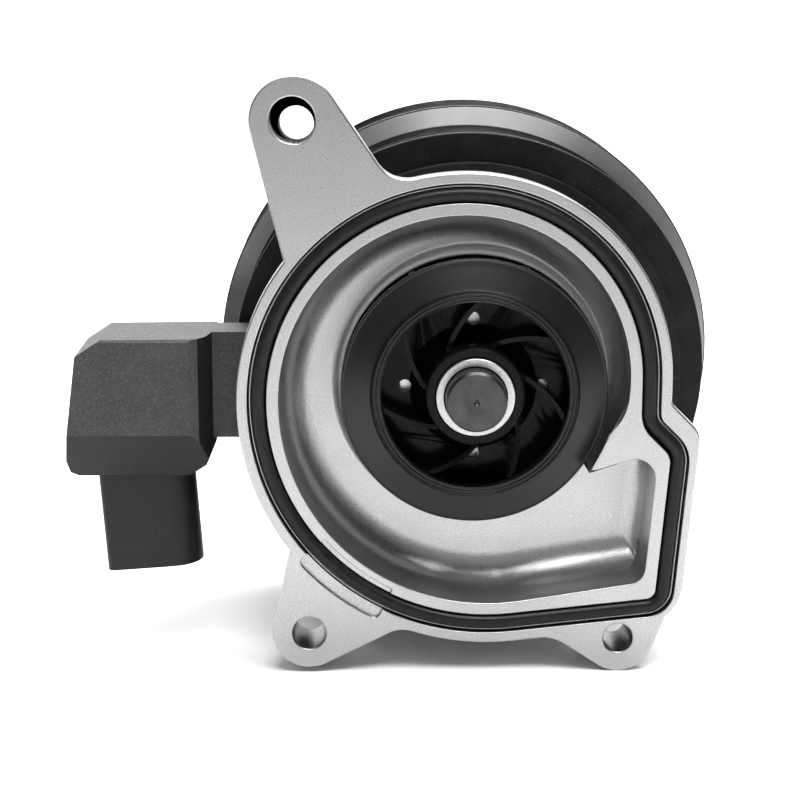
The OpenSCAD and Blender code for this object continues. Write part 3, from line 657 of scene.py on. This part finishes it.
LAND_EDGE = 0.28
HOLE_EDGE = 0.4
FLANGE_T = 8.0
BACK_ROUND = 3.0
BOSS_T = 17.0
RIB_T = 14.0
BODY_Y = 21.0
STEP_Y = 24.0
SHOULDER_Y = 27.2
FLOOR_Y = 20.0
BOWL_R = 9.0
ISLAND_R = 35.4
ISLAND_Y = 15.8
MOUTH_R = 36.8
GROOVE_Y = 3.8
GROOVE_ROUND = 0.5
GROOVE_IN = 3.2
GROOVE_OUT = 8.2
LEDGE_Y = 1.2
LEDGE_A = (220.7, 243.6)
TURN = 54
QUARTER_C = [(-2.4, 4.0), (-2.4, -2.0), (3.6, -2.0), (3.6, 4.0)]
QUARTER_R = [43.0, 49.0, 55.0, 61.0]
WALL_A = -4.8
FLOOR_A = 278.7
LIP_A = 108.3
SLOPE_A = 45.0
SEAL_FLOOR_A = 276.0
POCKET_WALL = 49.6
POCKET_LIP = -29.6
EARS = {
    "top": ((-46.5, 71.0), 11.6, (-49, 33), (-22, 55.5)),
    "left": ((-43.9, -65.1), 9.7, (-13, -60.6), (-47.6, -36)),
    "right": ((38.9, -66.5), 9.7, (55.6, -50.5), (13, -61)),
}
HOLES = {"top": (-46.2, 69.9), "left": (-43.9, -65.1), "right": (38.8, -66.9)}
HOLE_R = {"top": 4.5, "left": 4.5, "right": 4.0}
BOSS_R = {"top": 9.6, "left": 9.2, "right": 9.2}
RECESS_C = (-47, 71.4)
RECESS_R = 5.9
RECESS_Y = 8.0
# Turned surfaces of the casting, as (radius, y) from the front backwards.
SHAFT_BORE = (
    (17.8, ISLAND_Y), (17.5, 16.1), (17.5, 24.5), (12.9, 24.5), (12.9, 28.4),
    (15.05, 28.4), (15.05, 52.7), (15.3, 53.0),
)
NECK = (
    (21.5, SHOULDER_Y), (21.5, 30.3), (20.6, 30.3), (20.6, 31.9), (21.5, 31.9),
    (21.5, 52.5), (21.0, 53.0),
)


def floor_dist(degrees):
    return along(degrees, QUARTER_C[3]) + QUARTER_R[3]


def spiral(off, last):
    out = []
    for q in range(3):
        out += arc(QUARTER_C[q], QUARTER_R[q] + off, 90 * q, 90 * q + 90, TURN, False)
    return out + arc(QUARTER_C[3], QUARTER_R[3] + off, 270, last, 5, False)


def contour(off, low_r, high_r, hollow_r, wall, slope):
    """A closed outline beside the volute and round the outlet."""
    low_c = meet(SEAL_FLOOR_A, floor_dist(SEAL_FLOOR_A) - low_r, WALL_A + 360, wall - low_r)
    high_c = meet(WALL_A, wall - high_r, SLOPE_A, slope - high_r)
    side = QUARTER_C[0][0] + QUARTER_R[0]
    hollow_c = meet(0, side + hollow_r, SLOPE_A, slope + hollow_r)
    return (
        spiral(off, SEAL_FLOOR_A)
        + arc(low_c, low_r + off, SEAL_FLOOR_A, WALL_A + 360, 14)
        + arc(high_c, high_r + off, WALL_A, SLOPE_A, 12)
        + arc(hollow_c, hollow_r - off, 180 + SLOPE_A, 180, 12)
    )


def seal_path(off):
    return contour(off, -0.4, 1.5, 12, 49.8, 21.6)


def rim_path():
    rim = 11.0
    return contour(rim, 2, 6 - rim, rim + 3, 60.2 - rim, 34.6 - rim)


def ear(name):
    centre, radius, p, q = EARS[name]
    start, end = touch(centre, radius, q, 1), touch(centre, radius, p, -1)
    return [p, q] + arc(centre, radius, start, end + 360 * (end < start), 40)


def ear_fillet(name, q, end, quarter, radius, side, core):
    """Infill between the rim and the side of an ear that runs to q."""
    centre, ear_r = EARS[name][:2]
    c, r = QUARTER_C[quarter], QUARTER_R[quarter] + 11.0
    a = touch(centre, ear_r, q, end)
    p = along(a, polar(centre, ear_r, a))
    h = p + radius - along(a, c)
    slide = along(a + 90, c) + side * math.sqrt((r + radius) ** 2 - h * h)
    m = tuple(u + v for u, v in zip(polar((0, 0), p + radius, a), polar((0, 0), slide, a + 90)))
    towards_rim = math.degrees(math.atan2(c[1] - m[1], c[0] - m[0]))
    turn = (towards_rim - a - 180 + 180) % 360 - 180
    return arc(m, radius, a + 180, a + 180 + turn, 10) + [core]


def flange_outline():
    parts = [rim_path()] + [ear(name) for name in EARS]
    parts.append(ear_fillet("top", (-22, 55.5), 1, 1, 9, 1, (-28, 52)))
    parts.append(ear_fillet("left", (-13, -60.6), -1, 2, 8, -1, (-22, -60)))
    parts.append(ear_fillet("right", (13, -61), 1, 3, 12, 1, (20, -62)))
    return joined(parts, lambda *member: any(member))


def inner_ledge():
    """The shallow ledge between the volute and the seal groove."""
    c, r = QUARTER_C[2], QUARTER_R[2]
    first, last = LEDGE_A
    return arc(c, r + 4.0, first, last, 24) + arc(c, r + 1.9, last, first, 24)


def outer_ledge():
    """The shallow ledge outside the seal groove, with two rounded corners."""
    c = QUARTER_C[2]
    far_r = QUARTER_R[2] + 11.3
    corner_r = far_r - 1.6
    first, last = LEDGE_A
    turn = 1.6
    start = blended(
        polar(c, corner_r, first), polar(c, far_r, first), polar(c, far_r, first + turn), 5
    )
    end = blended(
        polar(c, far_r, last - turn), polar(c, far_r, last), polar(c, corner_r, last), 5
    )
    far = arc(c, far_r, first + turn, last - turn, 24)[1:-1]
    return start + far + end + arc(c, QUARTER_R[2] + 7.7, last, first, 24)


def outlet_edge():
    """The outlet pocket's edge from the volute's end to the tongue."""
    low_c = meet(FLOOR_A, floor_dist(FLOOR_A) - 5, WALL_A + 360, POCKET_WALL - 5)
    high_c = meet(WALL_A, POCKET_WALL - 5.5, LIP_A, POCKET_LIP - 5.5)
    half = math.sqrt(MOUTH_R ** 2 - POCKET_LIP ** 2)
    lip_foot = polar((0, 0), POCKET_LIP, LIP_A)
    lip_run = polar((0, 0), half, LIP_A + 90)
    tongue = tuple(a - b for a, b in zip(lip_foot, lip_run))
    corners = [polar(QUARTER_C[3], QUARTER_R[3], FLOOR_A)]
    corners += arc(low_c, 5, FLOOR_A, WALL_A + 360, 10)
    corners += arc(high_c, 5.5, WALL_A, LIP_A, 14)
    nose = polar(tongue, 1.6, LIP_A - 90)
    corners.append(nose)
    out = []
    for a, b in zip(corners, corners[1:]):
        steps = max(1, round(math.dist(a, b) / 1.2))
        out += [tuple(u + (v - u) * k / steps for u, v in zip(a, b)) for k in range(steps)]
    return out + blended(nose, tongue, polar((0, 0), MOUTH_R, 326.2), 5)


def bowl_edge():
    """The open edge of the volute, with the angle on the island that each point faces."""
    run = arc(QUARTER_C[0], QUARTER_R[0], -6, 90, 60, False)
    run += arc(QUARTER_C[1], QUARTER_R[1], 90, 180, TURN, False)
    run += arc(QUARTER_C[2], QUARTER_R[2], 180, 270, TURN, False)
    run += arc(QUARTER_C[3], QUARTER_R[3], 270, FLOOR_A, 6, False)
    facing = [heading(p) for p in run]
    facing = [a - 360 if k < 20 and a > 180 else a for k, a in enumerate(facing)]
    start_wall = run[0]
    pocket = outlet_edge()
    start, end = heading(pocket[0]), heading(pocket[-1])
    gone = [0.0]
    for a, b in zip(pocket, pocket[1:]):
        gone.append(gone[-1] + math.dist(a, b))
    run += pocket
    facing += [start + (end - start) * g / gone[-1] for g in gone]
    tongue = arc((0, 0), MOUTH_R, end + 2.2, 343, 18)
    tongue += blended(tongue[-1], (39.9, -6.2), start_wall, 14)[1:-1]
    run += tongue
    facing += [heading(p) for p in tongue]
    return run, facing


def hollow(room, depth, radius):
    """Depth of a hollow at a distance from its wall, whose foot is rounded."""
    s = min(room, radius)
    return 0.0 if room < 0 else depth - radius + math.sqrt(s * (2 * radius - s))


def bowl_depth(x, z):
    """Depth of the volute and the outlet at a point, above the island's slope."""
    depths = [FLOOR_Y - 2.8 if math.hypot(x, z) < MOUTH_R else 0.0]
    for q, (c, r) in enumerate(zip(QUARTER_C, QUARTER_R)):
        a = heading((x, z), c)
        first, last = 90 * q, 90 * q + (90 if q < 3 else 9)
        if first <= a <= last or (q == 0 and a >= 338):
            depths.append(hollow(r - math.dist(c, (x, z)), FLOOR_Y, BOWL_R))
    if heading((x, z)) > 277:
        walls = (
            (FLOOR_A, floor_dist(FLOOR_A), BOWL_R),
            (WALL_A, POCKET_WALL, 5),
            (LIP_A, POCKET_LIP, 2.5),
        )
        depths.append(min(hollow(p - along(a, (x, z)), FLOOR_Y, f) for a, p, f in walls))
    return min(max(depths), ISLAND_Y + max(0.0, math.hypot(x, z) - ISLAND_R) * 2.6)


# ---------------------------------------------------------------- shells made of loops


class Shell:
    """A mesh built from loops of points that share one flat outline family."""

    def __init__(self):
        self.verts = []
        self.faces = []
        self.flat = set()

    def loop(self, outline, y):
        first = len(self.verts)
        heights = y if isinstance(y, list) else [y] * len(outline)
        self.verts += [(x, h, z) for (x, z), h in zip(outline, heights)]
        return list(range(first, first + len(outline)))

    def strip(self, a, b):
        for k in range(len(a)):
            j = (k + 1) % len(a)
            self.faces.append([a[k], a[j], b[j], b[k]])

    def rows(self, *rows):
        for a, b in zip(rows, rows[1:]):
            self.strip(a, b)

    def fill(self, *loops):
        """A flat face between loops that lie in one plane."""
        outlines = [[(self.verts[i][0], self.verts[i][2]) for i in loop] for loop in loops]
        order = [i for loop in loops for i in loop]
        verts, faces, source = triangles(outlines)
        for face in faces:
            centre = middle_of(face, verts)
            if sum(inside(centre, outline) for outline in outlines) % 2:
                self.flat.add(len(self.faces))
                self.faces.append([order[source[i]] for i in face])

    def edge(self, outline, y, radius, side, down=1, steps=3):
        """Rounds an edge: side is +1 where the land lies outside, down is the wall's way."""
        rows = []
        for k in range(steps + 1):
            a = math.pi / 2 * k / steps
            back = radius * (1 - math.sin(a))
            drop = radius * (1 - math.cos(a))
            rows.append(self.loop(grown(outline, side * back), y + down * drop))
        self.rows(*rows)
        return rows

    def piece(self, name, body, material, stands_for=()):
        obj = new_piece(name, self.verts, self.faces, body, material, stands_for)
        for k, poly in enumerate(obj.data.polygons):
            poly.use_smooth = k not in self.flat
        outward(obj)
        return obj


def circle(centre, radius, count=72):
    return arc(centre, radius, 0, 360, count, False)


def housing_front(shell):
    """Flange lands, seal groove with its two ledges, and the bowl's rounded mouth."""
    outline = flange_outline()
    outer_cut = joined([seal_path(GROOVE_OUT), outer_ledge()], lambda a, b: a or b)
    inner_cut = joined([seal_path(GROOVE_IN), inner_ledge()], lambda a, b: a and not b)
    run, facing = bowl_edge()
    rim = shell.edge(outline, 0, 0.5, -1)
    groove_out = shell.edge(outer_cut, 0, LAND_EDGE, 1)
    groove_in = shell.edge(inner_cut, 0, LAND_EDGE, -1)
    mouth = shell.edge(run, 0, LAND_EDGE, 1)
    holes = []
    for name, centre in HOLES.items():
        hole = circle(centre, HOLE_R[name])
        if name == "top":
            recess = circle(RECESS_C, RECESS_R)
            hole = joined([circle(centre, HOLE_R[name] + 0.05), recess], lambda a, b: a or b)
        holes.append(shell.edge(hole, 0, HOLE_EDGE, 1))
    shell.fill(rim[0], groove_out[0], *(rows[0] for rows in holes))
    shell.fill(groove_in[0], mouth[0])
    groove_walls(shell, outer_cut, groove_out[-1], GROOVE_OUT)
    groove_walls(shell, inner_cut, groove_in[-1], GROOVE_IN)
    low, high = seal_path(GROOVE_IN), seal_path(GROOVE_OUT)
    shell.rows(
        shell.loop(low, GROOVE_Y - GROOVE_ROUND),
        shell.loop(grown(low, GROOVE_ROUND), GROOVE_Y),
        shell.loop(grown(high, -GROOVE_ROUND), GROOVE_Y),
        shell.loop(high, GROOVE_Y - GROOVE_ROUND),
    )
    bowl(shell, run, facing, mouth[-1])
    return outline, rim[-1], [rows[-1] for rows in holes]


def groove_walls(shell, cut, top, off):
    """One side of the groove: down to its ledge, along it, and down to the rounded foot."""
    path = seal_path(off)
    ledge = shell.loop(cut, LEDGE_Y)
    shell.strip(top, ledge)
    below = shell.loop(path, LEDGE_Y)
    shell.fill(ledge, below)
    shell.strip(below, shell.loop(path, GROOVE_Y - GROOVE_ROUND))


def bowl(shell, run, facing, mouth):
    """The volute's wall, rounded foot and floor, as columns that run in to the island."""
    steps = 26
    ends = [polar((0, 0), ISLAND_R, a) for a in facing]
    row = mouth
    foot = [bowl_depth(*mixed(p, e, 0.003)) for p, e in zip(run, ends)]
    for part in (0.35, 0.7, 1.0):
        below = shell.loop(run, [LAND_EDGE + (y - LAND_EDGE) * part for y in foot])
        shell.strip(row, below)
        row = below
    for k in range(1, steps + 1):
        t = (k / steps) ** 1.6
        flat = [mixed(p, e, t) for p, e in zip(run, ends)]
        below = shell.loop(flat, [bowl_depth(*p) for p in flat])
        shell.strip(row, below)
        row = below
    for radius, y in SHAFT_BORE:
        below = shell.loop([polar((0, 0), radius, a) for a in facing], y)
        shell.strip(row, below)
        row = below
    neck_r, neck_y = NECK[-1]
    shell.strip(row, shell.loop([polar((0, 0), neck_r, a) for a in facing], neck_y))


def housing_back(shell, outline, rim, holes):
    """Flange edge, cast body behind it, shoulder, neck and the drilled bosses."""
    back = shell.edge(outline, FLANGE_T, BACK_ROUND, -1, down=-1, steps=6)
    shell.strip(rim, back[-1])
    body = seal_path(3.4)
    root = shell.edge(body, FLANGE_T, 1.5, 1)
    drilled = [shell.loop(circle(HOLES[name], HOLE_R[name] + 0.1), FLANGE_T) for name in HOLES]
    shell.fill(back[0], root[0], *drilled)
    body_back = shell.edge(body, BODY_Y, 1.6, -1, down=-1)
    shell.strip(root[-1], body_back[-1])
    step = seal_path(0.4)
    step_back = shell.edge(step, STEP_Y, 0.8, -1, down=-1)
    step_root = shell.loop(step, BODY_Y)
    shell.fill(body_back[0], step_root)
    shell.strip(step_root, step_back[-1])
    columns = 144
    shoulder_line = circle((0, 0), 27, columns)
    shoulder = shell.edge(shoulder_line, SHOULDER_Y, 0.5, -1, down=-1)
    shoulder_root = shell.loop(shoulder_line, STEP_Y)
    shell.fill(step_back[0], shoulder_root)
    shell.strip(shoulder_root, shoulder[-1])
    rows = [shell.loop(circle((0, 0), radius, columns), y) for radius, y in NECK]
    shell.rows(shoulder[0], *rows)
    for name, hole in zip(HOLES, holes):
        boss(shell, name, hole)


def boss(shell, name, hole):
    """The round boss behind an ear, and the bolt hole through it to the front."""
    centre, radius = EARS[name][0], BOSS_R[name]
    inner = circle(HOLES[name], HOLE_R[name])
    mouth = shell.edge(inner, BOSS_T, HOLE_EDGE, 1, down=-1)
    top = shell.edge(circle(centre, radius), BOSS_T, 0.9, -1, down=-1)
    shell.fill(top[0], mouth[0])
    shell.strip(top[-1], shell.loop(circle(centre, radius + 0.1), FLANGE_T - BACK_ROUND))
    if name == "top":
        ledge = shell.loop([shell.verts[i][::2] for i in hole], RECESS_Y)
        shell.strip(hole, ledge)
        lip = shell.loop(inner, RECESS_Y)
        shell.fill(ledge, lip)
        shell.strip(lip, mouth[-1])
    else:
        shell.strip(hole, mouth[-1])


def rib(name, outline):
    """A stiffening rib between the cast body and a boss."""
    shell = Shell()
    top = shell.edge(outline, RIB_T, 1.2, -1, down=-1)
    shell.fill(top[0])
    low = shell.loop(grown(outline, 0.5), FLANGE_T - 0.3)
    shell.strip(top[-1], low)
    shell.fill(low)
    shell.piece("rib_" + name, "housing", ALUMINIUM)


def housing():
    """The casting and its three ribs."""
    shell = Shell()
    outline, rim, holes = housing_front(shell)
    housing_back(shell, outline, rim, holes)
    obj = shell.piece("housing_casting", "housing", ALUMINIUM, ["pump_housing"])
    rib("top", [(-32, 40), (-43.2, 63.2), (-49.2, 63.2), (-40, 34)])
    rib("left", [(-43.1, -58.0), (-38.3, -60.6), (-30, -48), (-38, -46)])
    rib("right", [(34.0, -61.6), (39.2, -59.8), (38, -54.8), (30.5, -55.8)])
    return obj


def seal_lie(off):
    """The ring seal's course: beside the groove's inner wall, but across its hollow bend."""
    low, high = seal_path(5.35 + off), seal_path(5.7 + off)
    out = []
    for p, q in zip(low, high):
        across = math.exp(-((math.dist(p, (50.5, -12.5)) / 6.5) ** 4))
        out.append(mixed(p, q, across))
    return out


def ring_seal():
    """The moulded ring in the groove, with a rounded crown."""
    shell = Shell()
    half, crown = 1.85, 1.5
    section = [(-half + 0.35, 3.5), (-half, 3.1), (-half, crown - 0.1)]
    section += [
        (-half * math.cos(a), crown - 2.1 * math.sin(a) ** 0.85)
        for a in (math.radians(9 * k) for k in range(1, 20))
    ]
    section += [(half, crown - 0.1), (half, 3.1), (half - 0.35, 3.5)]
    rows = [shell.loop(seal_lie(off), y) for off, y in section]
    shell.rows(*rows, rows[0])
    shell.piece("ring_seal", "housing", RUBBER, ["housing_seal"])


def groove_bead():
    """The low cast bead between the seal and the groove's outer wall."""
    shell = Shell()
    section = (
        (7.28, GROOVE_Y), (7.3, 1.35), (7.4, 1.2), (7.65, 1.2), (7.75, 1.35), (7.77, GROOVE_Y)
    )
    rows = [shell.loop(seal_path(off), y) for off, y in section]
    shell.rows(*rows, rows[0])
    shell.piece("groove_bead", "housing", ALUMINIUM)


def shroud():
    """The impeller's front shroud, with two fine ridges round its eye."""
    path = [(24.6, 1.8), (24.6, -0.5)]
    for radius in (24.85, 25.85, 26.75):
        path += [
            (radius - 0.22, -0.62), (radius - 0.12, -0.95), (radius, -1.05),
            (radius + 0.12, -0.95), (radius + 0.22, -0.62),
        ]
    path += [(27.15, 0.2), (27.6, 0.8), (28.4, 1.15), (33, 3.15), (34.5, 3.85)]
    path += [(34.85, 3.75), (35.2, 3.95), (35.2, 6.35), (30, 4.5), (24.9, 2.7)]
    verts, faces = spun([(rounded(path, False, 0.12), False)], 240)
    outward(new_piece("shroud", verts, faces, "shaft", SHROUD, ["impeller_shroud"]))


def bare(obj, material, chosen):
    """Gives the faces whose every corner is chosen a second material: bare turned steel on the
    pulley ring, or a darker copy that is painted shade.
    """
    mesh = obj.data
    mesh.materials.append(material)
    for poly in mesh.polygons:
        if all(chosen(mesh.vertices[i].co / MM, poly.normal) for i in poly.vertices):
            poly.material_index = 1


def on_pulley_ring(point, normal):
    return normal.y < -0.9 and point.y < 62.5 and math.hypot(point.x, point.z) > 60


def in_bolt_bore(point, normal):
    near = any(math.dist(HOLES[n], (point.x, point.z)) < HOLE_R[n] + 0.05 for n in HOLES)
    return near and abs(normal.y) < 0.3 and point.y > 0.3


def solids(node):
    """The separate solids of a CAD node, as points and faces, with flat faces joined up."""
    bm = welded(NODES[node].data)
    bm.verts.index_update()
    bm.faces.index_update()
    seen = set()
    out = []
    for first in bm.verts:
        if first.index in seen:
            continue
        seen.add(first.index)
        stack, group = [first], []
        while stack:
            vert = stack.pop()
            group.append(vert)
            for edge in vert.link_edges:
                other = edge.other_vert(vert)
                if other.index not in seen:
                    seen.add(other.index)
                    stack.append(other)
        number = {vert.index: k for k, vert in enumerate(group)}
        faces = sorted({f.index: f for vert in group for f in vert.link_faces}.items())
        points = [vert.co.copy() for vert in group]
        out.append((points, [[number[v.index] for v in f.verts] for _, f in faces]))
    bm.free()
    return out


def middle(points):
    """The middle of the points' box."""
    low = Vector([min(p[k] for p in points) for k in range(3)])
    high = Vector([max(p[k] for p in points) for k in range(3)])
    return (low + high) / 2


def cut_across(mesh, start, end, steps):
    """Cuts a mesh across the way from start to end, so that it can bend there."""
    bm = bmesh.new()
    bm.from_mesh(mesh)
    for k in range(steps + 1):
        bmesh.ops.bisect_plane(
            bm, geom=bm.verts[:] + bm.edges[:] + bm.faces[:], dist=1e-7,
            plane_co=start + (end - start) * (k / steps), plane_no=(end - start).normalized()
        )
    bm.to_mesh(mesh)
    bm.free()


def spring_piece(name, points, faces):
    """One leaf spring as a plain mesh, its rounded edges included."""
    mesh = bpy.data.meshes.new(name)
    mesh.from_pydata(points, [], faces)
    obj = placed(name, mesh)
    round_edges(obj, 0.1)
    final = bpy.data.meshes.new_from_object(
        obj.evaluated_get(bpy.context.evaluated_depsgraph_get())
    )
    obj.modifiers.clear()
    obj.data = final
    final.materials.clear()
    final.materials.append(SPRING)
    return obj


def leaf_springs():
    """Three springs, each cut across between its pulley rivet and its armature rivet so that it can
    bend there.
    """
    eye = 5 * MM
    held = [middle(points) for points, _ in solids("pulley_rivets")]
    pulled = [middle(points) for points, _ in solids("armature_rivets")]
    for k, (points, faces) in enumerate(solids("leaf_springs")):
        obj = spring_piece("leaf_spring_" + str(k + 1), points, faces)
        here = middle(points)
        start, end = (min(ends, key=lambda p: (p - here).length).copy() for ends in (held, pulled))
        start.y = end.y = here.y
        way = (end - start).normalized()
        start, end = start + way * eye, end - way * eye
        cut_across(obj.data, start, end, 14)
        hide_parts("leaf_springs")
        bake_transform(obj)


# ---------------------------------------------------------------- pieces

# The bolt bores take the dark aluminium copy: painted shade inside the holes.
bare(housing(), BORE_SHADE_ALUMINIUM, in_bolt_bore)
ring_seal()
groove_bead()
box = eased("connector_box", "housing", PLASTIC, 0.7, 3)
# Box faces that turn down or sideways take the darker copy: painted shade.
bare(box, SHADED_PLASTIC, lambda point, normal: normal.z < -0.2 or abs(normal.x) > 0.6)
# The socket takes the darker copy all over: painted shade.
eased("connector_socket", "housing", SHADED_PLASTIC, 0.3)
eased("connector_cover", "housing", PLASTIC, 0.3)
eased("connector_screws", "housing", ZINC, 0.15)
eased("coil_plate", "housing", COIL_STEEL, 0.3)
eased("coil_case", "housing", COIL_STEEL, 0.3)
turned("pump_shaft", "shaft", TURNED, 0.2, 128)
turned("impeller_bush", "shaft", BLASTED_STEEL, 0.15, 160)
shroud()
eased("impeller", "shaft", IMPELLER, 0.25)
eased("pump_pulley", "shaft", COATED, 0.2)
drive = eased("drive_pulley", "clutched_pulley", COATED, 0.3)
bare(drive, PULLEY_FACE, on_pulley_ring)
leaf_springs()
eased("pulley_rivets", "clutched_pulley", ZINC, 0.3)
eased("rivet_spacers", "clutched_pulley", ZINC, 0.2)
eased("stop_pads", "clutched_pulley", RUBBER, 0.3)
turned("nose_cap", "clutched_pulley", PLASTIC, 0.4, 200)
eased("armature_plate", "armature", COIL_STEEL, 0.25)
eased("armature_rivets", "armature", ZINC, 0.25)

# ---------------------------------------------------------------- stage, light and camera

FLOOR_Z = cad_box[0][2]


def backdrop():
    """A pale floor that sweeps up into a wall behind the part."""
    half_width = 3.0
    bend = 0.6
    wall_y = 1.5
    rows = [(-3.0, 0.0), (wall_y - bend, 0.0)]
    rows += [
        (wall_y - bend + bend * math.sin(a), bend - bend * math.cos(a))
        for a in (math.radians(10 * k) for k in range(1, 10))
    ]
    rows.append((wall_y, 2.4))
    verts = [(x, y, FLOOR_Z + z) for y, z in rows for x in (-half_width, half_width)]
    faces = [(2 * k, 2 * k + 1, 2 * k + 3, 2 * k + 2) for k in range(len(rows) - 1)]
    mesh = bpy.data.meshes.new("backdrop")
    mesh.from_pydata(verts, [], faces)
    smooth_faces(mesh)
    obj = placed("backdrop", mesh)
    s = Shader("studio_paper", Roughness=0.9)
    color = s.ramp(s.noise(3, 3), (0.3, 0.92), (0.7, 0.94))
    mesh.materials.append(s.done(color))


def softbox(name, place, aim, size, power):
    """A rectangular area light that looks at a point."""
    lamp = bpy.data.lights.new(name, "AREA")
    lamp.shape = "RECTANGLE"
    lamp.size, lamp.size_y = size
    lamp.energy = power
    obj = placed(name, lamp)
    obj.location = place
    obj.rotation_euler = (Vector(aim) - Vector(place)).to_track_quat("-Z", "Y").to_euler()


def studio():
    """Soft light from above and in front, and a light of its own for the paper behind."""
    world = bpy.data.worlds.new("studio")
    world.use_nodes = True
    sky = world.node_tree.nodes["Background"].inputs
    sky["Color"].default_value = (1, 1, 1, 1)
    sky["Strength"].default_value = 0.12
    bpy.context.scene.world = world
    pump = (0, 0.04, 0)
    softbox("overhead", (0.15, -0.42, 1.05), pump, (0.85, 0.55), 17)
    softbox("front", (-0.2, -1.6, 0.62), pump, (1.6, 1.1), 1.8)
    softbox("paper_light", (0, 0.7, 1.6), (0, 1.4, 0.1), (2.4, 0.5), 60)


def camera():
    """The photograph's viewpoint, a little above the pump axis."""
    view = bpy.data.cameras.new("camera")
    view.lens = 90
    view.sensor_width = 36
    obj = placed("camera", view)
    obj.location = (-0.027717, -0.509321, 0.112445)
    obj.rotation_euler = Vector((0.0155, 0.9759, -0.2178)).to_track_quat("-Z", "Y").to_euler()
    bpy.context.scene.camera = obj


backdrop()
studio()
camera()
bpy.context.scene.view_settings.view_transform = "Standard"
